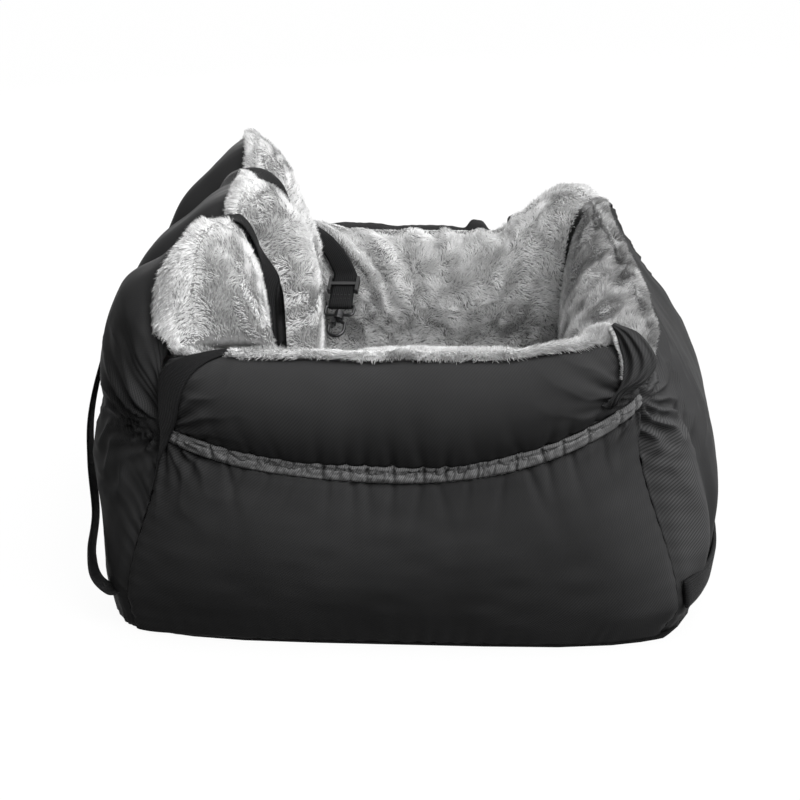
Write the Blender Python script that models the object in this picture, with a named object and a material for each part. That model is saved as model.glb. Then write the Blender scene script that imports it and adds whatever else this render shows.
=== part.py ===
# Dog car seat: a padded box of stuffed walls with a black nylon outer cover, a plush
# lining, a tall backrest held in three lobes by two webbing straps, and a tether.
# Metres, +Z up. +X runs from the backrest to the front wall, +Y from the near side to
# the far side. The origin is on the floor in the middle of the four corner seams.

import bpy
import bmesh
import math
import numpy as np
from mathutils import Matrix

mm = 0.001

# Plan of the seat
SEAM_HALF_WIDTH = 250 * mm        # corner seams at the floor, along X
SEAM_HALF_DEPTH = 226 * mm        # corner seams at the floor, along Y
SEAM_DRAW_IN = 40 * mm            # how far the side elastic pulls the seams together
SEAM_DRAW_START = 30 * mm
WELL_BACK = 112 * mm              # from the origin to the backrest's foot
WELL_FRONT = 150 * mm             # from the origin to the front wall's foot
WELL_HALF_DEPTH = 150 * mm        # from the origin to each side wall's foot

# Layers
NYLON = 1.6 * mm
PLUSH = 8 * mm
PLUSH_SEAM = 2 * mm               # where the plush is pressed flat in its seams
CLEARANCE = 0.35 * mm
STUFFING_GAP = 0.8 * mm           # loose fit between the filling and its lining or cover
BOTTOM_PANEL = 2.4 * mm
FLOOR = BOTTOM_PANEL + CLEARANCE  # where everything above the base cloth starts

# Backrest
BACK_HEIGHT = 376 * mm
BACK_END_HEIGHT = 262 * mm
BACK_STRAP_HEIGHT = 344 * mm      # the ridge in the two strap channels
BACK_BULGE = 302 * mm             # from the origin to the outer face
BACK_RIDGE = 171 * mm             # from the origin to the ridge seam
BACK_LOBE_BELLY = 20 * mm
BACK_LOBE_DENT = 12 * mm          # how deep the straps draw the outer face in
BACK_INNER_ROUND = 246 * mm       # height where the inner face starts to lean back

# Front wall
FRONT_HEIGHT = 315 * mm
FRONT_BULGE = 294 * mm
FRONT_RIDGE = 226 * mm
FRONT_BELLY = 8 * mm
FRONT_INNER_ROUND = 200 * mm

# Side walls, near and far
SIDE_HEIGHT = 262 * mm
NEAR_CORNER_RISE = 12 * mm        # the ridges climb to the front wall's corners
FAR_CORNER_RISE = 50 * mm
SIDE_BULGE = 250 * mm             # lower panel, from the origin to the outer face
SIDE_WAIST = 226 * mm             # the gathered waist
SIDE_ROLL = 245 * mm              # the stuffed roll above the waist
SIDE_RIDGE = 192 * mm
SIDE_BELLY = 8 * mm
SIDE_INNER_ROUND = 190 * mm
WAIST_HEIGHT = 167 * mm           # in the middle of the wall
WAIST_RISE_BACK = 30 * mm         # how much the waist climbs to the backrest's corner
WAIST_RISE_FRONT = 60 * mm
FLOOR_TUCK = 14 * mm              # the outer faces turn in this far at the floor
FLOOR_TUCK_HEIGHT = 40 * mm

# Seat cushion and base
BASE_FOAM = 58 * mm
CUSHION_TOP = 153 * mm
CUSHION_EDGE_SHARE = 0.55         # height of the cushion's edge seam
CUSHION_DRAW_SHARE = 0.035
CUSHION_SEAM = 1.6 * mm
CUSHION_GAP = 1.2 * mm
CUSHION_GRID = 13
BASE_CLOTH = 1.2 * mm
FOAM_EDGE = 6 * mm

# Webbing and its channels
WEBBING = 25 * mm
WEBBING_THICK = 1.8 * mm

# Shapes of walls, as shares
BACK_CORNER_SHARE = 0.75          # the ridge's end between the well's corner and the seam
FRONT_CORNER_SHARE = 0.5
CROWN_POWER = 5
SEAM_POWER = 8
CORNER_POWER = 4
LOBE_POWER = 3
BELLY_POWER = 0.75
ROLL_POWER = 0.9
NECK_POWER = 7
CUSHION_POWER = 4
RISE_SHARES = (0.35, 1)           # where the side walls' ridges climb
CHANNEL_SHARES = (0.25, 0.42)     # where the strap channels start and end
STRAP_SHARE = 0.335
OUTER_LOBE_SHARE = 0.25           # the outer lobes' belly beside the middle one's
LOBE_SHARES = (-1, -0.97, -0.91, -0.83, -0.71, -0.56, -0.42, -0.25, -0.14, 0,
               0.14, 0.25, 0.42, 0.56, 0.71, 0.83, 0.91, 0.97, 1)
WALL_SHARES = (-1, -0.97, -0.91, -0.8, -0.6, -0.32, 0, 0.32, 0.6, 0.8, 0.91, 0.97, 1)
SECTION_SHARES = (0, 0.03, 0.12, 0.21, 0.32, 0.45, 0.59, 0.74, 0.89, 1)
BACK_OUTER_SHARES = ((0, 0.02, 0.1, 0.21, 0.37, 0.45, 0.61, 0.73, 0.87, 1),
                     (0.9, 0.91, 0.95, 1, 0.81, 0.76, 0.59, 0.38, 0.18, 0))
FRONT_OUTER_SHARES = ((0, 0.02, 0.1, 0.22, 0.35, 0.48, 0.58, 0.68, 0.84, 1),
                      (0.72, 0.76, 0.88, 1, 0.83, 0.49, 0.31, 0.2, 0.08, 0))
WAIST_SHARE = 0.5                 # place of the waist along a side wall's outer face
BAND_SHARES = (0.478, 0.518)      # the gather band's edges there
SEAM_SHARE = 0.005                # half the gap between two sewn panels
PANEL_GAP_SHARE = 0.0016
BAND_COUNT = 5
ROLL_SHARES = (0.91, 0.82, 0.72, 0.63, 0.56)
LOWER_SHARES = (0.42, 0.34, 0.23, 0.1, 0.03, 0)
ELASTIC = 1.4 * mm

# Straps
STRAP_COLUMNS = 3
STRAP_LIMIT_SHARE = 0.985
STRAP_INNER_START = 4             # section where the inner end is tucked behind the cushion
STRAP_OUTER_END = 4
SLACK_KNOTS = ((-269 * mm, 84 * mm, 243 * mm), (-290 * mm, 98 * mm, 196 * mm),
               (-305 * mm, 112 * mm, 145 * mm), (-304 * mm, 128 * mm, 82 * mm),
               (-297 * mm, 150 * mm, 38 * mm), (-278 * mm, 194 * mm, 28 * mm),
               (-258 * mm, 222 * mm, 42 * mm))
SLACK_COUNT = 22
SLACK_TWIST_SHARES = (0.35, 1)

# Tether: webbing from the corner seam over a side wall, with an adjuster and a snap hook
TETHER_RIDGE_SHARE = 0.8          # where it crosses the side wall's ridge
TETHER_SEAM_SHARE = 0.97
TETHER_LIP_SHARE = 0.74
TETHER_INNER_ROWS = 3
TETHER_LOWER_ROWS = 2
TETHER_FOOT = (-90 * mm, 110.6 * mm, 198 * mm)
HEM_LENGTH = 15 * mm              # webbing folded back behind the eye
HEM_STEP = 8 * mm
ADJUSTER_START = 17 * mm          # rest place, from the eye's bar
ADJUSTER_LENGTH = 20 * mm
ADJUSTER_RAIL = 3.2 * mm
ADJUSTER_BAR = 4 * mm
ADJUSTER_BAR_THICK = 2 * mm
ADJUSTER_SIDE_CLEARANCE = 0.8 * mm
ADJUSTER_BEVEL = 0.5 * mm
EYE_WIRE = 3.4 * mm
EYE_LENGTH = 13 * mm
EYE_SIDE_CLEARANCE = 1.2 * mm
EYE_CORNER = 4 * mm
BOSS_RADIUS = 5.2 * mm
BOSS_LENGTH = 6 * mm
POST_RADIUS = 2.4 * mm
POST_HEAD_RADIUS = 4.2 * mm
POST_HEAD = 1.6 * mm
COLLAR_LENGTH = 3 * mm
HOOK_WIRE = 3.6 * mm
HOOK_BEND = 8.5 * mm
HOOK_DROP = 22 * mm               # from the collar's foot to the middle of the bend
HOOK_TIP = 5.5 * mm
HOOK_NECK = 6.1 * mm              # from the collar's foot to where the shank runs straight
LUG_THICK = 1.4 * mm
LUG_HEIGHT = 4.9 * mm
LUG_WIDTH = 4.5 * mm
GATE_THICK = 2.4 * mm
GATE_WIDTH = 2.6 * mm
GATE_BOSS_RADIUS = 2.4 * mm
GATE_STEP = 0.2 * mm
GATE_OVERLAP = 2.4 * mm           # how far the gate passes behind the hook's tip
GATE_PIN_RADIUS = 1 * mm
ROUND_SIDES = 12
WIRE_SIDES = 8
OVERRUN = 2 * mm

# Zip low on the backrest's outer face, where the filling goes in
ZIP_LENGTH = 130 * mm
ZIP_HEIGHT = 62 * mm
ZIP_TAPE = 24 * mm
ZIP_TAPE_THICK = 0.8 * mm
ZIP_TAPE_GAP = 0.4 * mm
ZIP_TEETH = 5 * mm
ZIP_TEETH_THICK = 1.6 * mm
ZIP_PITCH = 5 * mm
ZIP_SAMPLES = 9                   # places along and across the tape that it has to clear
ZIP_TOOTH = 3.6 * mm
ZIP_END = 6 * mm                  # bare tape at each end
ZIP_STOP = 3 * mm
ZIP_STOP_HEIGHT = 3.2 * mm
ZIP_BEAD = 0.7 * mm               # the strip that the teeth stand on
SLIDER_LENGTH = 11 * mm
SLIDER_WALL = 1.3 * mm
EAR_THICK = 1.2 * mm
EAR_LENGTH = 3.6 * mm
PULL_BAR_RADIUS = 0.8 * mm
PULL_BARREL = 4.4 * mm
PULL_BARREL_WALL = 0.9 * mm
PULL_LENGTH = 26 * mm
PULL_THICK = 1.4 * mm

# Webbing low on the front wall's outer face, sewn into both corner seams
FRONT_STRAP_HEIGHT = 50 * mm

STEP_SHARE = 1e-3                 # used to measure a surface's slope
SHARP_ANGLE = math.radians(40)


def clear_scene():
    """An empty file, whatever the script was started in."""
    for item in list(bpy.data.objects):
        bpy.data.objects.remove(item, do_unlink=True)


def ease(low, high, value):
    """Goes from 0 at low to 1 at high with a smooth start and end."""
    share = np.clip((value - low) / (high - low), 0, 1)
    return share * share * (3 - 2 * share)


def smooth_table(value, places, shares):
    """A smooth curve through the shares given at the places, by cubic Hermite spans."""
    places, shares = np.array(places, float), np.array(shares, float)
    slope = np.gradient(shares, places)
    i = np.clip(np.searchsorted(places, value, side="right") - 1, 0, len(places) - 2)
    width = places[i + 1] - places[i]
    t = np.clip((value - places[i]) / width, 0, 1)
    ends = (2 * t ** 3 - 3 * t ** 2 + 1) * shares[i] + (3 * t ** 2 - 2 * t ** 3) * shares[i + 1]
    lean = (t ** 3 - 2 * t ** 2 + t) * slope[i] + (t ** 3 - t ** 2) * slope[i + 1]
    return ends + lean * width


def material(name, colour, roughness, metallic=0.0):
    """A Principled material, made once for each name."""
    made = bpy.data.materials.get(name)
    if made is None:
        made = bpy.data.materials.new(name)
        made.use_nodes = True
        shader = made.node_tree.nodes["Principled BSDF"]
        shader.inputs["Base Color"].default_value = (*colour, 1)
        shader.inputs["Roughness"].default_value = roughness
        shader.inputs["Metallic"].default_value = metallic
    return made


def black_nylon():
    return material("black_nylon", (0.022, 0.022, 0.023), 0.42)


def grey_plush():
    return material("grey_plush", (0.42, 0.42, 0.42), 0.95)


def filling():
    return material("polyester_filling", (0.82, 0.82, 0.80), 0.9)


def foam():
    return material("foam", (0.75, 0.74, 0.66), 0.85)


def black_webbing():
    return material("black_webbing", (0.012, 0.012, 0.013), 0.6)


def black_plastic():
    return material("black_plastic", (0.015, 0.015, 0.016), 0.35)


def black_metal():
    return material("black_metal", (0.05, 0.05, 0.052), 0.3, 0.9)


def elastic():
    return material("elastic", (0.03, 0.03, 0.03), 0.7)


def base_cloth():
    return material("base_cloth", (0.03, 0.03, 0.03), 0.75)


def add_object(name, points, faces, finish, smooth=True):
    """One named mesh object with outward faces and a material."""
    mesh = bpy.data.meshes.new(name)
    mesh.from_pydata([tuple(p) for p in points], [], faces)
    form = bmesh.new()
    form.from_mesh(mesh)
    bmesh.ops.recalc_face_normals(form, faces=form.faces)
    form.to_mesh(mesh)
    form.free()
    if smooth:
        mesh.shade_smooth()
        mesh.set_sharp_from_angle(angle=SHARP_ANGLE)
    mesh.materials.append(finish)
    made = bpy.data.objects.new(name, mesh)
    bpy.context.scene.collection.objects.link(made)
    return made


def slab(outer, inner):
    """Points and faces of a sheet with thickness, from two grids of the same size."""
    rows, columns = outer.shape[:2]
    points = np.concatenate([outer.reshape(-1, 3), inner.reshape(-1, 3)])
    under = rows * columns
    faces = []
    for i in range(rows - 1):
        for j in range(columns - 1):
            a = i * columns + j
            b = a + columns
            for one, two, three in ((a, b, b + 1), (a, b + 1, a + 1)):
                faces.append((one, two, three))
                faces.append((under + three, under + two, under + one))
    rim = [j for j in range(columns)]
    rim += [i * columns + columns - 1 for i in range(1, rows)]
    rim += [(rows - 1) * columns + j for j in range(columns - 2, -1, -1)]
    rim += [i * columns for i in range(rows - 2, 0, -1)]
    for a, b in zip(rim, rim[1:] + rim[:1]):
        faces.append((a, b, under + b, under + a))
    return points, faces


def tube_solid(rings):
    """Points and faces of a solid from closed rings, its ends shut like a ladder."""
    count, around = rings.shape[:2]
    points = rings.reshape(-1, 3)
    faces = []
    for i in range(count - 1):
        for j in range(around):
            k = (j + 1) % around
            a, b = i * around, (i + 1) * around
            faces.append((a + j, b + k, b + j))
            faces.append((a + j, a + k, b + k))
    for start in (0, (count - 1) * around):
        low, high = 0, around - 1
        while high - low > 2:
            faces.append((start + low, start + low + 1, start + high - 1, start + high))
            low, high = low + 1, high - 1
        if high - low == 2:
            faces.append((start + low, start + low + 1, start + high))
    return points, faces


class Wall:
    """One stuffed wall. A point is given by its share along the wall, from -1 to 1, and its
    section share: -1 at the inner foot, 0 on the ridge seam, 1 at the outer foot.
    out is 'x' or 'y', the axis that the wall faces, and facing is the sign of its outer side."""

    short = 1                         # the filling ends this many stations before the mitre

    def __init__(self, out, facing, well, belly, inner_round):
        self.out, self.facing = out, facing
        self.well, self.belly = well, belly
        self.inner_round = inner_round

    def puff(self, u):
        return 1 - np.abs(u) ** CROWN_POWER

    def height(self, u, k):
        """Height of the surface, with points closer together towards the ridge."""
        t = 1 - np.abs(k)
        return FLOOR + (self.top(u) - FLOOR) * (1 - (1 - t) ** 2)

    def outer_place(self, u, z):
        """The outer face's section share at a height."""
        share = (z - FLOOR) / (self.top(u) - FLOOR)
        return np.sqrt(1 - np.clip(share, 0, 1))

    def lean(self, z, u):
        """0 at the inner foot and 1 on the ridge, along a quarter ellipse."""
        q = np.clip((z - self.inner_round) / (self.top(u) - self.inner_round), 0, 1)
        return 1 - np.sqrt(1 - q * q)

    def reach(self, k):
        """1 where the outer face stands out most and 0 on the ridge."""
        return smooth_table(1 - np.abs(k), *self.outer_shares)

    def outer(self, z, u, k):
        """Distance of the outer face from the origin in the middle of the wall."""
        ridge = self.ridge_line(u)
        return ridge + (self.bulge - ridge) * self.reach(k)

    def at_back(self, u):
        """Whether this end of the wall is at the backrest."""
        return u < 0 if self.out == "y" else self.facing + 0 * u < 0

    def corner(self, u):
        """The well's corner at this end, and the run from it to the corner seam, each as
        out and along. A cut through both is the mitre where two walls meet."""
        well_x = np.where(self.at_back(u), WELL_BACK, WELL_FRONT)
        run_x, run_y = SEAM_HALF_WIDTH - well_x, SEAM_HALF_DEPTH - WELL_HALF_DEPTH
        if self.out == "x":
            return well_x, WELL_HALF_DEPTH, run_x, run_y
        return WELL_HALF_DEPTH, well_x, run_y, run_x

    def end_points(self, z, k, u):
        """Where the wall ends, on the mitre between the well's corner and the corner seam."""
        well_out, well_along, run_out, run_along = self.corner(u)
        draw = SEAM_DRAW_IN * ease(SEAM_DRAW_START, WAIST_HEIGHT + WAIST_RISE_BACK, z)
        tuck = FLOOR_TUCK * (1 - ease(0, FLOOR_TUCK_HEIGHT, z))
        run_x = run_out if self.out == "x" else run_along
        ridge = np.where(self.at_back(u), BACK_CORNER_SHARE, FRONT_CORNER_SHARE)
        inward = ridge * self.lean(z, u)
        outward = ridge + (1 - ridge) * np.sqrt(1 - (1 - np.abs(k)) ** CORNER_POWER)
        share = np.where(k < 0, inward, outward) * (1 - (draw + tuck) / run_x)
        return well_out + run_out * share, well_along + run_along * share

    def mitred(self, points, u):
        """The points, held on their own side of the mitres at the wall's ends."""
        well_out, well_along, run_out, run_along = self.corner(u)
        out_axis, along_axis = (0, 1) if self.out == "x" else (1, 0)
        out = points[..., out_axis] * self.facing
        limit = well_along + (out - well_out) * run_along / run_out - CLEARANCE
        points[..., along_axis] = np.clip(points[..., along_axis], -limit, limit)
        return points

    def surface(self, u, k):
        """Points of the visible surface for arrays of shares."""
        u, k = np.broadcast_arrays(np.asarray(u, float), np.asarray(k, float))
        z = self.height(u, k)
        lean = self.lean(z, u)
        end_out, end_along = self.end_points(z, k, u)
        ridge = self.ridge_line(u)
        swell = self.belly * self.puff(u) * ease(CUSHION_TOP - PLUSH, CUSHION_TOP + WEBBING, z)
        inner = self.well - swell * (1 - lean) + (ridge - self.well) * lean
        middle = np.where(k < 0, inner, self.outer(z, u, k))
        out = end_out + (middle - end_out) * (1 - np.abs(u) ** CROWN_POWER)
        along = u * end_along
        out = out * self.facing
        x, y = (out, along) if self.out == "x" else (along, out)
        return np.stack([x, y, z], -1)

    def normals(self, u, k):
        """Unit vectors that point out of the wall, measured from the surface's slopes."""
        u, k = np.broadcast_arrays(np.asarray(u, float), np.asarray(k, float))
        ua, ub = np.clip(u - STEP_SHARE, -1, 1), np.clip(u + STEP_SHARE, -1, 1)
        ka, kb = np.clip(k - STEP_SHARE, -1, 1), np.clip(k + STEP_SHARE, -1, 1)
        along = self.surface(ub, k) - self.surface(ua, k)
        around = self.surface(u, kb) - self.surface(u, ka)
        normal = np.cross(along, around)
        normal /= np.linalg.norm(normal, axis=-1, keepdims=True)
        hand = -1 if self.out == "x" else 1
        return normal * hand * self.facing

    def layer(self, us, ks, depth):
        """A grid of points that lie depth below the visible surface."""
        u, k = np.meshgrid(us, ks, indexing="ij")
        depth = np.broadcast_to(depth, u.shape)[..., None]
        points = self.surface(u, k) - self.normals(u, k) * depth
        points[..., 2] = np.maximum(points[..., 2], FLOOR)
        return self.mitred(points, u)

    def lining_depth(self, us, ks):
        """Thickness of the plush lining: full in the panel and pressed flat at its seams."""
        u, k = np.meshgrid(us, ks, indexing="ij")
        full = (1 - np.abs(u) ** SEAM_POWER) * (1 - (1 - np.abs(k)) ** SEAM_POWER)
        return PLUSH_SEAM + (PLUSH - PLUSH_SEAM) * full

    def panel(self, name, us, ks, top, bottom, finish):
        """A sewn panel of cloth between two depths."""
        points, faces = slab(self.layer(us, ks, top), self.layer(us, ks, bottom))
        return add_object(name, points, faces, finish)

    def stuffing(self, name, us, inner, outer, cover):
        """The solid filling behind the lining and the cover, which lies at depth cover."""
        us = us[self.short:-self.short]
        lining = self.lining_depth(us, inner) + STUFFING_GAP
        cover = np.broadcast_to(cover, (len(us), len(outer)))
        depth = np.concatenate([lining, cover], axis=1)
        points, faces = tube_solid(self.layer(us, np.concatenate([inner, outer]), depth))
        return add_object(name, points, faces, filling())


class Backrest(Wall):
    """The tall wall at -X. Two strap channels draw it into three lobes."""

    short = 2
    bulge = BACK_BULGE
    outer_shares = BACK_OUTER_SHARES
    PLACE_SHARES = (-1, -0.7, 0, 0.7, 1)
    RIDGE_SHARES = (0.97, 0.97, 0.91, 1, 1)

    def lobe(self, u):
        start, stop = CHANNEL_SHARES
        a = np.abs(u)
        middle = np.clip(a / start, 0, 1)
        end = np.clip(np.abs(2 * (a - stop) / (1 - stop) - 1), 0, 1)
        return np.where(a < start, 1 - middle ** LOBE_POWER,
                        np.where(a > stop, 1 - end ** LOBE_POWER, 0))

    def puff(self, u):
        share = np.where(np.abs(u) < CHANNEL_SHARES[0], 1, OUTER_LOBE_SHARE)
        return self.lobe(u) * share

    def top(self, u):
        start, stop = CHANNEL_SHARES
        valley = np.interp(np.abs(u), (0, start, stop, 1),
                           (BACK_STRAP_HEIGHT,) * 3 + (BACK_END_HEIGHT,))
        return valley + (BACK_HEIGHT - valley) * self.lobe(u)

    def ridge_line(self, u):
        return BACK_RIDGE * np.interp(u, self.PLACE_SHARES, self.RIDGE_SHARES)

    def outer(self, z, u, k):
        channel = (1 - self.lobe(u)) * (1 - np.abs(u) ** CROWN_POWER)
        high = ease(CUSHION_TOP, BACK_INNER_ROUND, z) * ease(0, BAND_SHARES[0], np.abs(k))
        return super().outer(z, u, k) - BACK_LOBE_DENT * channel * high


class FrontWall(Wall):
    """The wall at +X. Its ridge falls towards the near corner and its neck is drawn in."""

    bulge = FRONT_BULGE
    outer_shares = FRONT_OUTER_SHARES
    PLACE_SHARES = (-1, -0.86, -0.6, -0.2, 0.3, 0.7, 1)
    TOP_SHARES = (0.87, 0.78, 0.79, 0.83, 0.89, 0.95, 0.99)
    RIDGE_SHARES = (1, 1, 0.99, 0.97, 0.9, 0.83, 0.8)

    def top(self, u):
        return FRONT_HEIGHT * smooth_table(u, self.PLACE_SHARES, self.TOP_SHARES)

    def ridge_line(self, u):
        return FRONT_RIDGE * smooth_table(u, self.PLACE_SHARES, self.RIDGE_SHARES)


class SideWall(Wall):
    """The walls at -Y and +Y: a lower panel, a gathered waist and a stuffed roll."""

    def top(self, u):
        rise = NEAR_CORNER_RISE if self.facing < 0 else FAR_CORNER_RISE
        return SIDE_HEIGHT + rise * ease(*RISE_SHARES, u)

    def ridge_line(self, u):
        return SIDE_RIDGE + 0 * u

    def waist(self, u):
        return WAIST_HEIGHT + np.where(u < 0, WAIST_RISE_BACK, WAIST_RISE_FRONT) * u * u

    def height(self, u, k):
        t = 1 - np.abs(k)
        low = FLOOR + (self.waist(u) - FLOOR) * t / WAIST_SHARE
        r = np.clip((t - WAIST_SHARE) / (1 - WAIST_SHARE), 0, 1)
        high = self.waist(u) + (self.top(u) - self.waist(u)) * (1 - (1 - r) ** 2)
        return np.where(k < 0, super().height(u, k), np.where(t < WAIST_SHARE, low, high))

    def outer(self, z, u, k):
        t = 1 - np.abs(k)
        low = np.clip(t / WAIST_SHARE, 0, 1)
        foot = SIDE_BULGE - FLOOR_TUCK
        belly = SIDE_BULGE - (foot + SIDE_WAIST) / 2
        lower = foot + (SIDE_WAIST - foot) * low + belly * np.sin(math.pi * low) ** BELLY_POWER
        r = np.clip((t - WAIST_SHARE) / (1 - WAIST_SHARE), 0, 1)
        swell = SIDE_RIDGE + (SIDE_ROLL - SIDE_RIDGE) * np.cos(r * math.pi / 2) ** ROLL_POWER
        roll = swell - (SIDE_ROLL - SIDE_WAIST) * (1 - r) ** NECK_POWER
        return np.where(t < WAIST_SHARE, lower, roll)


def make_walls():
    """The four walls' shapes."""
    return {
        "back": Backrest("x", -1, WELL_BACK, BACK_LOBE_BELLY, BACK_INNER_ROUND),
        "front": FrontWall("x", 1, WELL_FRONT, FRONT_BELLY, FRONT_INNER_ROUND),
        "near": SideWall("y", -1, WELL_HALF_DEPTH, SIDE_BELLY, SIDE_INNER_ROUND),
        "far": SideWall("y", 1, WELL_HALF_DEPTH, SIDE_BELLY, SIDE_INNER_ROUND),
    }


def inner_places(sections):
    """Section shares up the inner face, from its foot to the ridge seam."""
    return np.append(np.array(sections[:-1]) - 1, -SEAM_SHARE)


def outer_places(sections):
    """Section shares down the outer face, from the ridge seam to its foot."""
    return np.append(SEAM_SHARE, 1 - np.array(sections[-2::-1]))


def waist_places():
    """Section shares of a side wall's roll, gather band and lower panel, from the ridge down."""
    low, high = BAND_SHARES
    gap = PANEL_GAP_SHARE
    roll = 1 - np.append(1 - SEAM_SHARE, np.array(ROLL_SHARES + (high + gap,)))
    band = 1 - np.linspace(high, low, BAND_COUNT)
    lower = 1 - np.array((low - gap,) + LOWER_SHARES)
    return roll, band, lower


def add_tall_wall(wall, name, us):
    """Backrest or front wall: filling, plush lining and nylon cover."""
    inner, outer = inner_places(SECTION_SHARES), outer_places(SECTION_SHARES)
    wall.stuffing(name + "_filling", us, inner, outer, NYLON + STUFFING_GAP)
    wall.panel(name + "_plush_lining", us, inner, 0, wall.lining_depth(us, inner),
               grey_plush())
    wall.panel(name + "_nylon_cover", us, outer, 0, NYLON, black_nylon())


def add_side_wall(wall, name, us):
    """Near or far wall: filling, lining, lower panel, gathered waist with its elastic, roll."""
    inner = inner_places(SECTION_SHARES)
    roll, band, lower = waist_places()
    room = NYLON + CLEARANCE + ELASTIC + STUFFING_GAP
    behind = np.concatenate([np.full(len(roll), NYLON + STUFFING_GAP), np.full(len(band), room),
                             np.full(len(lower), NYLON + STUFFING_GAP)])
    wall.stuffing(name + "_filling", us, inner, np.concatenate([roll, band, lower]), behind)
    wall.panel(name + "_plush_lining", us, inner, 0, wall.lining_depth(us, inner),
               grey_plush())
    wall.panel(name + "_roll_cover", us, roll, 0, NYLON, black_nylon())
    wall.panel(name + "_gather_band", us, band, 0, NYLON, black_nylon())
    wall.panel(name + "_lower_panel", us, lower, 0, NYLON, black_nylon())
    wall.panel(name + "_waist_elastic", us, band, NYLON + CLEARANCE, room - STUFFING_GAP, elastic())


def add_bottom_panel(walls):
    """The base cloth, cut to the feet of the four outer faces."""
    us = np.array(WALL_SHARES)
    edge = [walls["near"].surface(us, 1), walls["front"].surface(us, 1)]
    edge += [walls["far"].surface(us[::-1], 1), walls["back"].surface(us[::-1], 1)]
    ring = np.concatenate(edge)
    form = bmesh.new()
    corners = [form.verts.new((x, y, 0)) for x, y, z in ring]
    bmesh.ops.remove_doubles(form, verts=corners, dist=2 * CLEARANCE)
    face = bmesh.ops.contextual_create(form, geom=form.verts[:])["faces"]
    grown = bmesh.ops.extrude_face_region(form, geom=face)["geom"]
    lifted = [g for g in grown if isinstance(g, bmesh.types.BMVert)]
    bmesh.ops.translate(form, verts=lifted, vec=(0, 0, BOTTOM_PANEL))
    bmesh.ops.triangulate(form, faces=form.faces[:])
    add_form("bottom_panel", form, base_cloth())


def add_form(name, form, finish, frame=None, smooth=False):
    """A named object from a bmesh, which is freed. frame places it."""
    bmesh.ops.recalc_face_normals(form, faces=form.faces)
    mesh = bpy.data.meshes.new(name)
    form.to_mesh(mesh)
    form.free()
    if smooth:
        mesh.shade_smooth()
        mesh.set_sharp_from_angle(angle=SHARP_ANGLE)
    mesh.materials.append(finish)
    made = bpy.data.objects.new(name, mesh)
    bpy.context.scene.collection.objects.link(made)
    if frame is not None:
        made.matrix_world = frame
    return made


def well_box(gap):
    """The middle and half size of the well's floor, less a gap all round."""
    middle = (WELL_FRONT - WELL_BACK) / 2
    half_x = (WELL_FRONT + WELL_BACK) / 2 - gap
    return middle, half_x, WELL_HALF_DEPTH - gap


def cushion_sheet(inset, edge, middle_height):
    """A grid over the cushion with its corners pointed and its sides drawn in. It goes from
    the height edge at its rim to middle_height, and stands in by inset all round."""
    middle, half_x, half_y = well_box(CUSHION_GAP + inset)
    a = np.sin(np.linspace(-math.pi / 2, math.pi / 2, CUSHION_GRID))
    u, v = np.meshgrid(a, a, indexing="ij")
    crown = np.sqrt((1 - u ** CUSHION_POWER) * (1 - v ** CUSHION_POWER))
    x = middle + half_x * u * (1 - CUSHION_DRAW_SHARE * (1 - v * v) * np.abs(u))
    y = half_y * v * (1 - CUSHION_DRAW_SHARE * (1 - u * u) * np.abs(v))
    return np.stack([x, y, edge + (middle_height - edge) * crown], -1)


def add_seat():
    """Foam base, and the cushion: a plush top, a cloth underside and the filling between."""
    middle, half_x, half_y = well_box(CUSHION_GAP)
    base = box_form((middle, 0, FLOOR + BASE_FOAM / 2), (half_x, half_y, BASE_FOAM / 2),
                    FOAM_EDGE)
    add_form("base_foam", base, foam())
    low = FLOOR + BASE_FOAM + CLEARANCE
    edge = low + (CUSHION_TOP - low) * CUSHION_EDGE_SHARE
    hem = edge - CUSHION_SEAM
    top = slab(cushion_sheet(0, edge, CUSHION_TOP), cushion_sheet(PLUSH, edge, CUSHION_TOP - PLUSH))
    under = slab(cushion_sheet(BASE_CLOTH, hem, low + BASE_CLOTH), cushion_sheet(0, hem, low))
    room = PLUSH + CLEARANCE
    inside = slab(cushion_sheet(room, edge - CLEARANCE, CUSHION_TOP - room),
                  cushion_sheet(room, hem + CLEARANCE, low + BASE_CLOTH + CLEARANCE))
    add_object("cushion_plush_top", *top, grey_plush())
    add_object("cushion_underside", *under, base_cloth())
    add_object("cushion_filling", *inside, filling())


def box_form(middle, half, bevel=0):
    """A box, with bevelled edges if bevel isn't zero, as a bmesh."""
    form = bmesh.new()
    bmesh.ops.create_cube(form, size=2)
    bmesh.ops.scale(form, vec=half, verts=form.verts)
    if bevel:
        bmesh.ops.bevel(form, geom=form.edges[:], offset=bevel, segments=1, affect="EDGES")
    bmesh.ops.translate(form, vec=middle, verts=form.verts)
    return form


def drum_form(foot, top, radius, axis="Z", middle=(0, 0, 0)):
    """A round bar between two places on its axis, which runs through middle."""
    form = bmesh.new()
    bmesh.ops.create_cone(form, cap_ends=True, segments=ROUND_SIDES, radius1=radius,
                          radius2=radius, depth=top - foot)
    bmesh.ops.translate(form, vec=(0, 0, (foot + top) / 2), verts=form.verts)
    if axis == "Y":
        bmesh.ops.rotate(form, matrix=Matrix.Rotation(-math.pi / 2, 3, "X"), verts=form.verts)
    bmesh.ops.translate(form, vec=middle, verts=form.verts)
    return form


def turned_form(profile):
    """A solid turned round the local Z axis from radius and height pairs, top to bottom."""
    turn = np.linspace(0, 2 * math.pi, ROUND_SIDES, endpoint=False)
    form = bmesh.new()
    rings = [[form.verts.new((r * math.cos(a), r * math.sin(a), z)) for a in turn]
             for r, z in profile]
    for one, two in zip(rings, rings[1:]):
        for j in range(ROUND_SIDES):
            k = (j + 1) % ROUND_SIDES
            form.faces.new((one[j], one[k], two[k], two[j]))
    form.faces.new(rings[0])
    form.faces.new(rings[-1][::-1])
    return form


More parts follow.
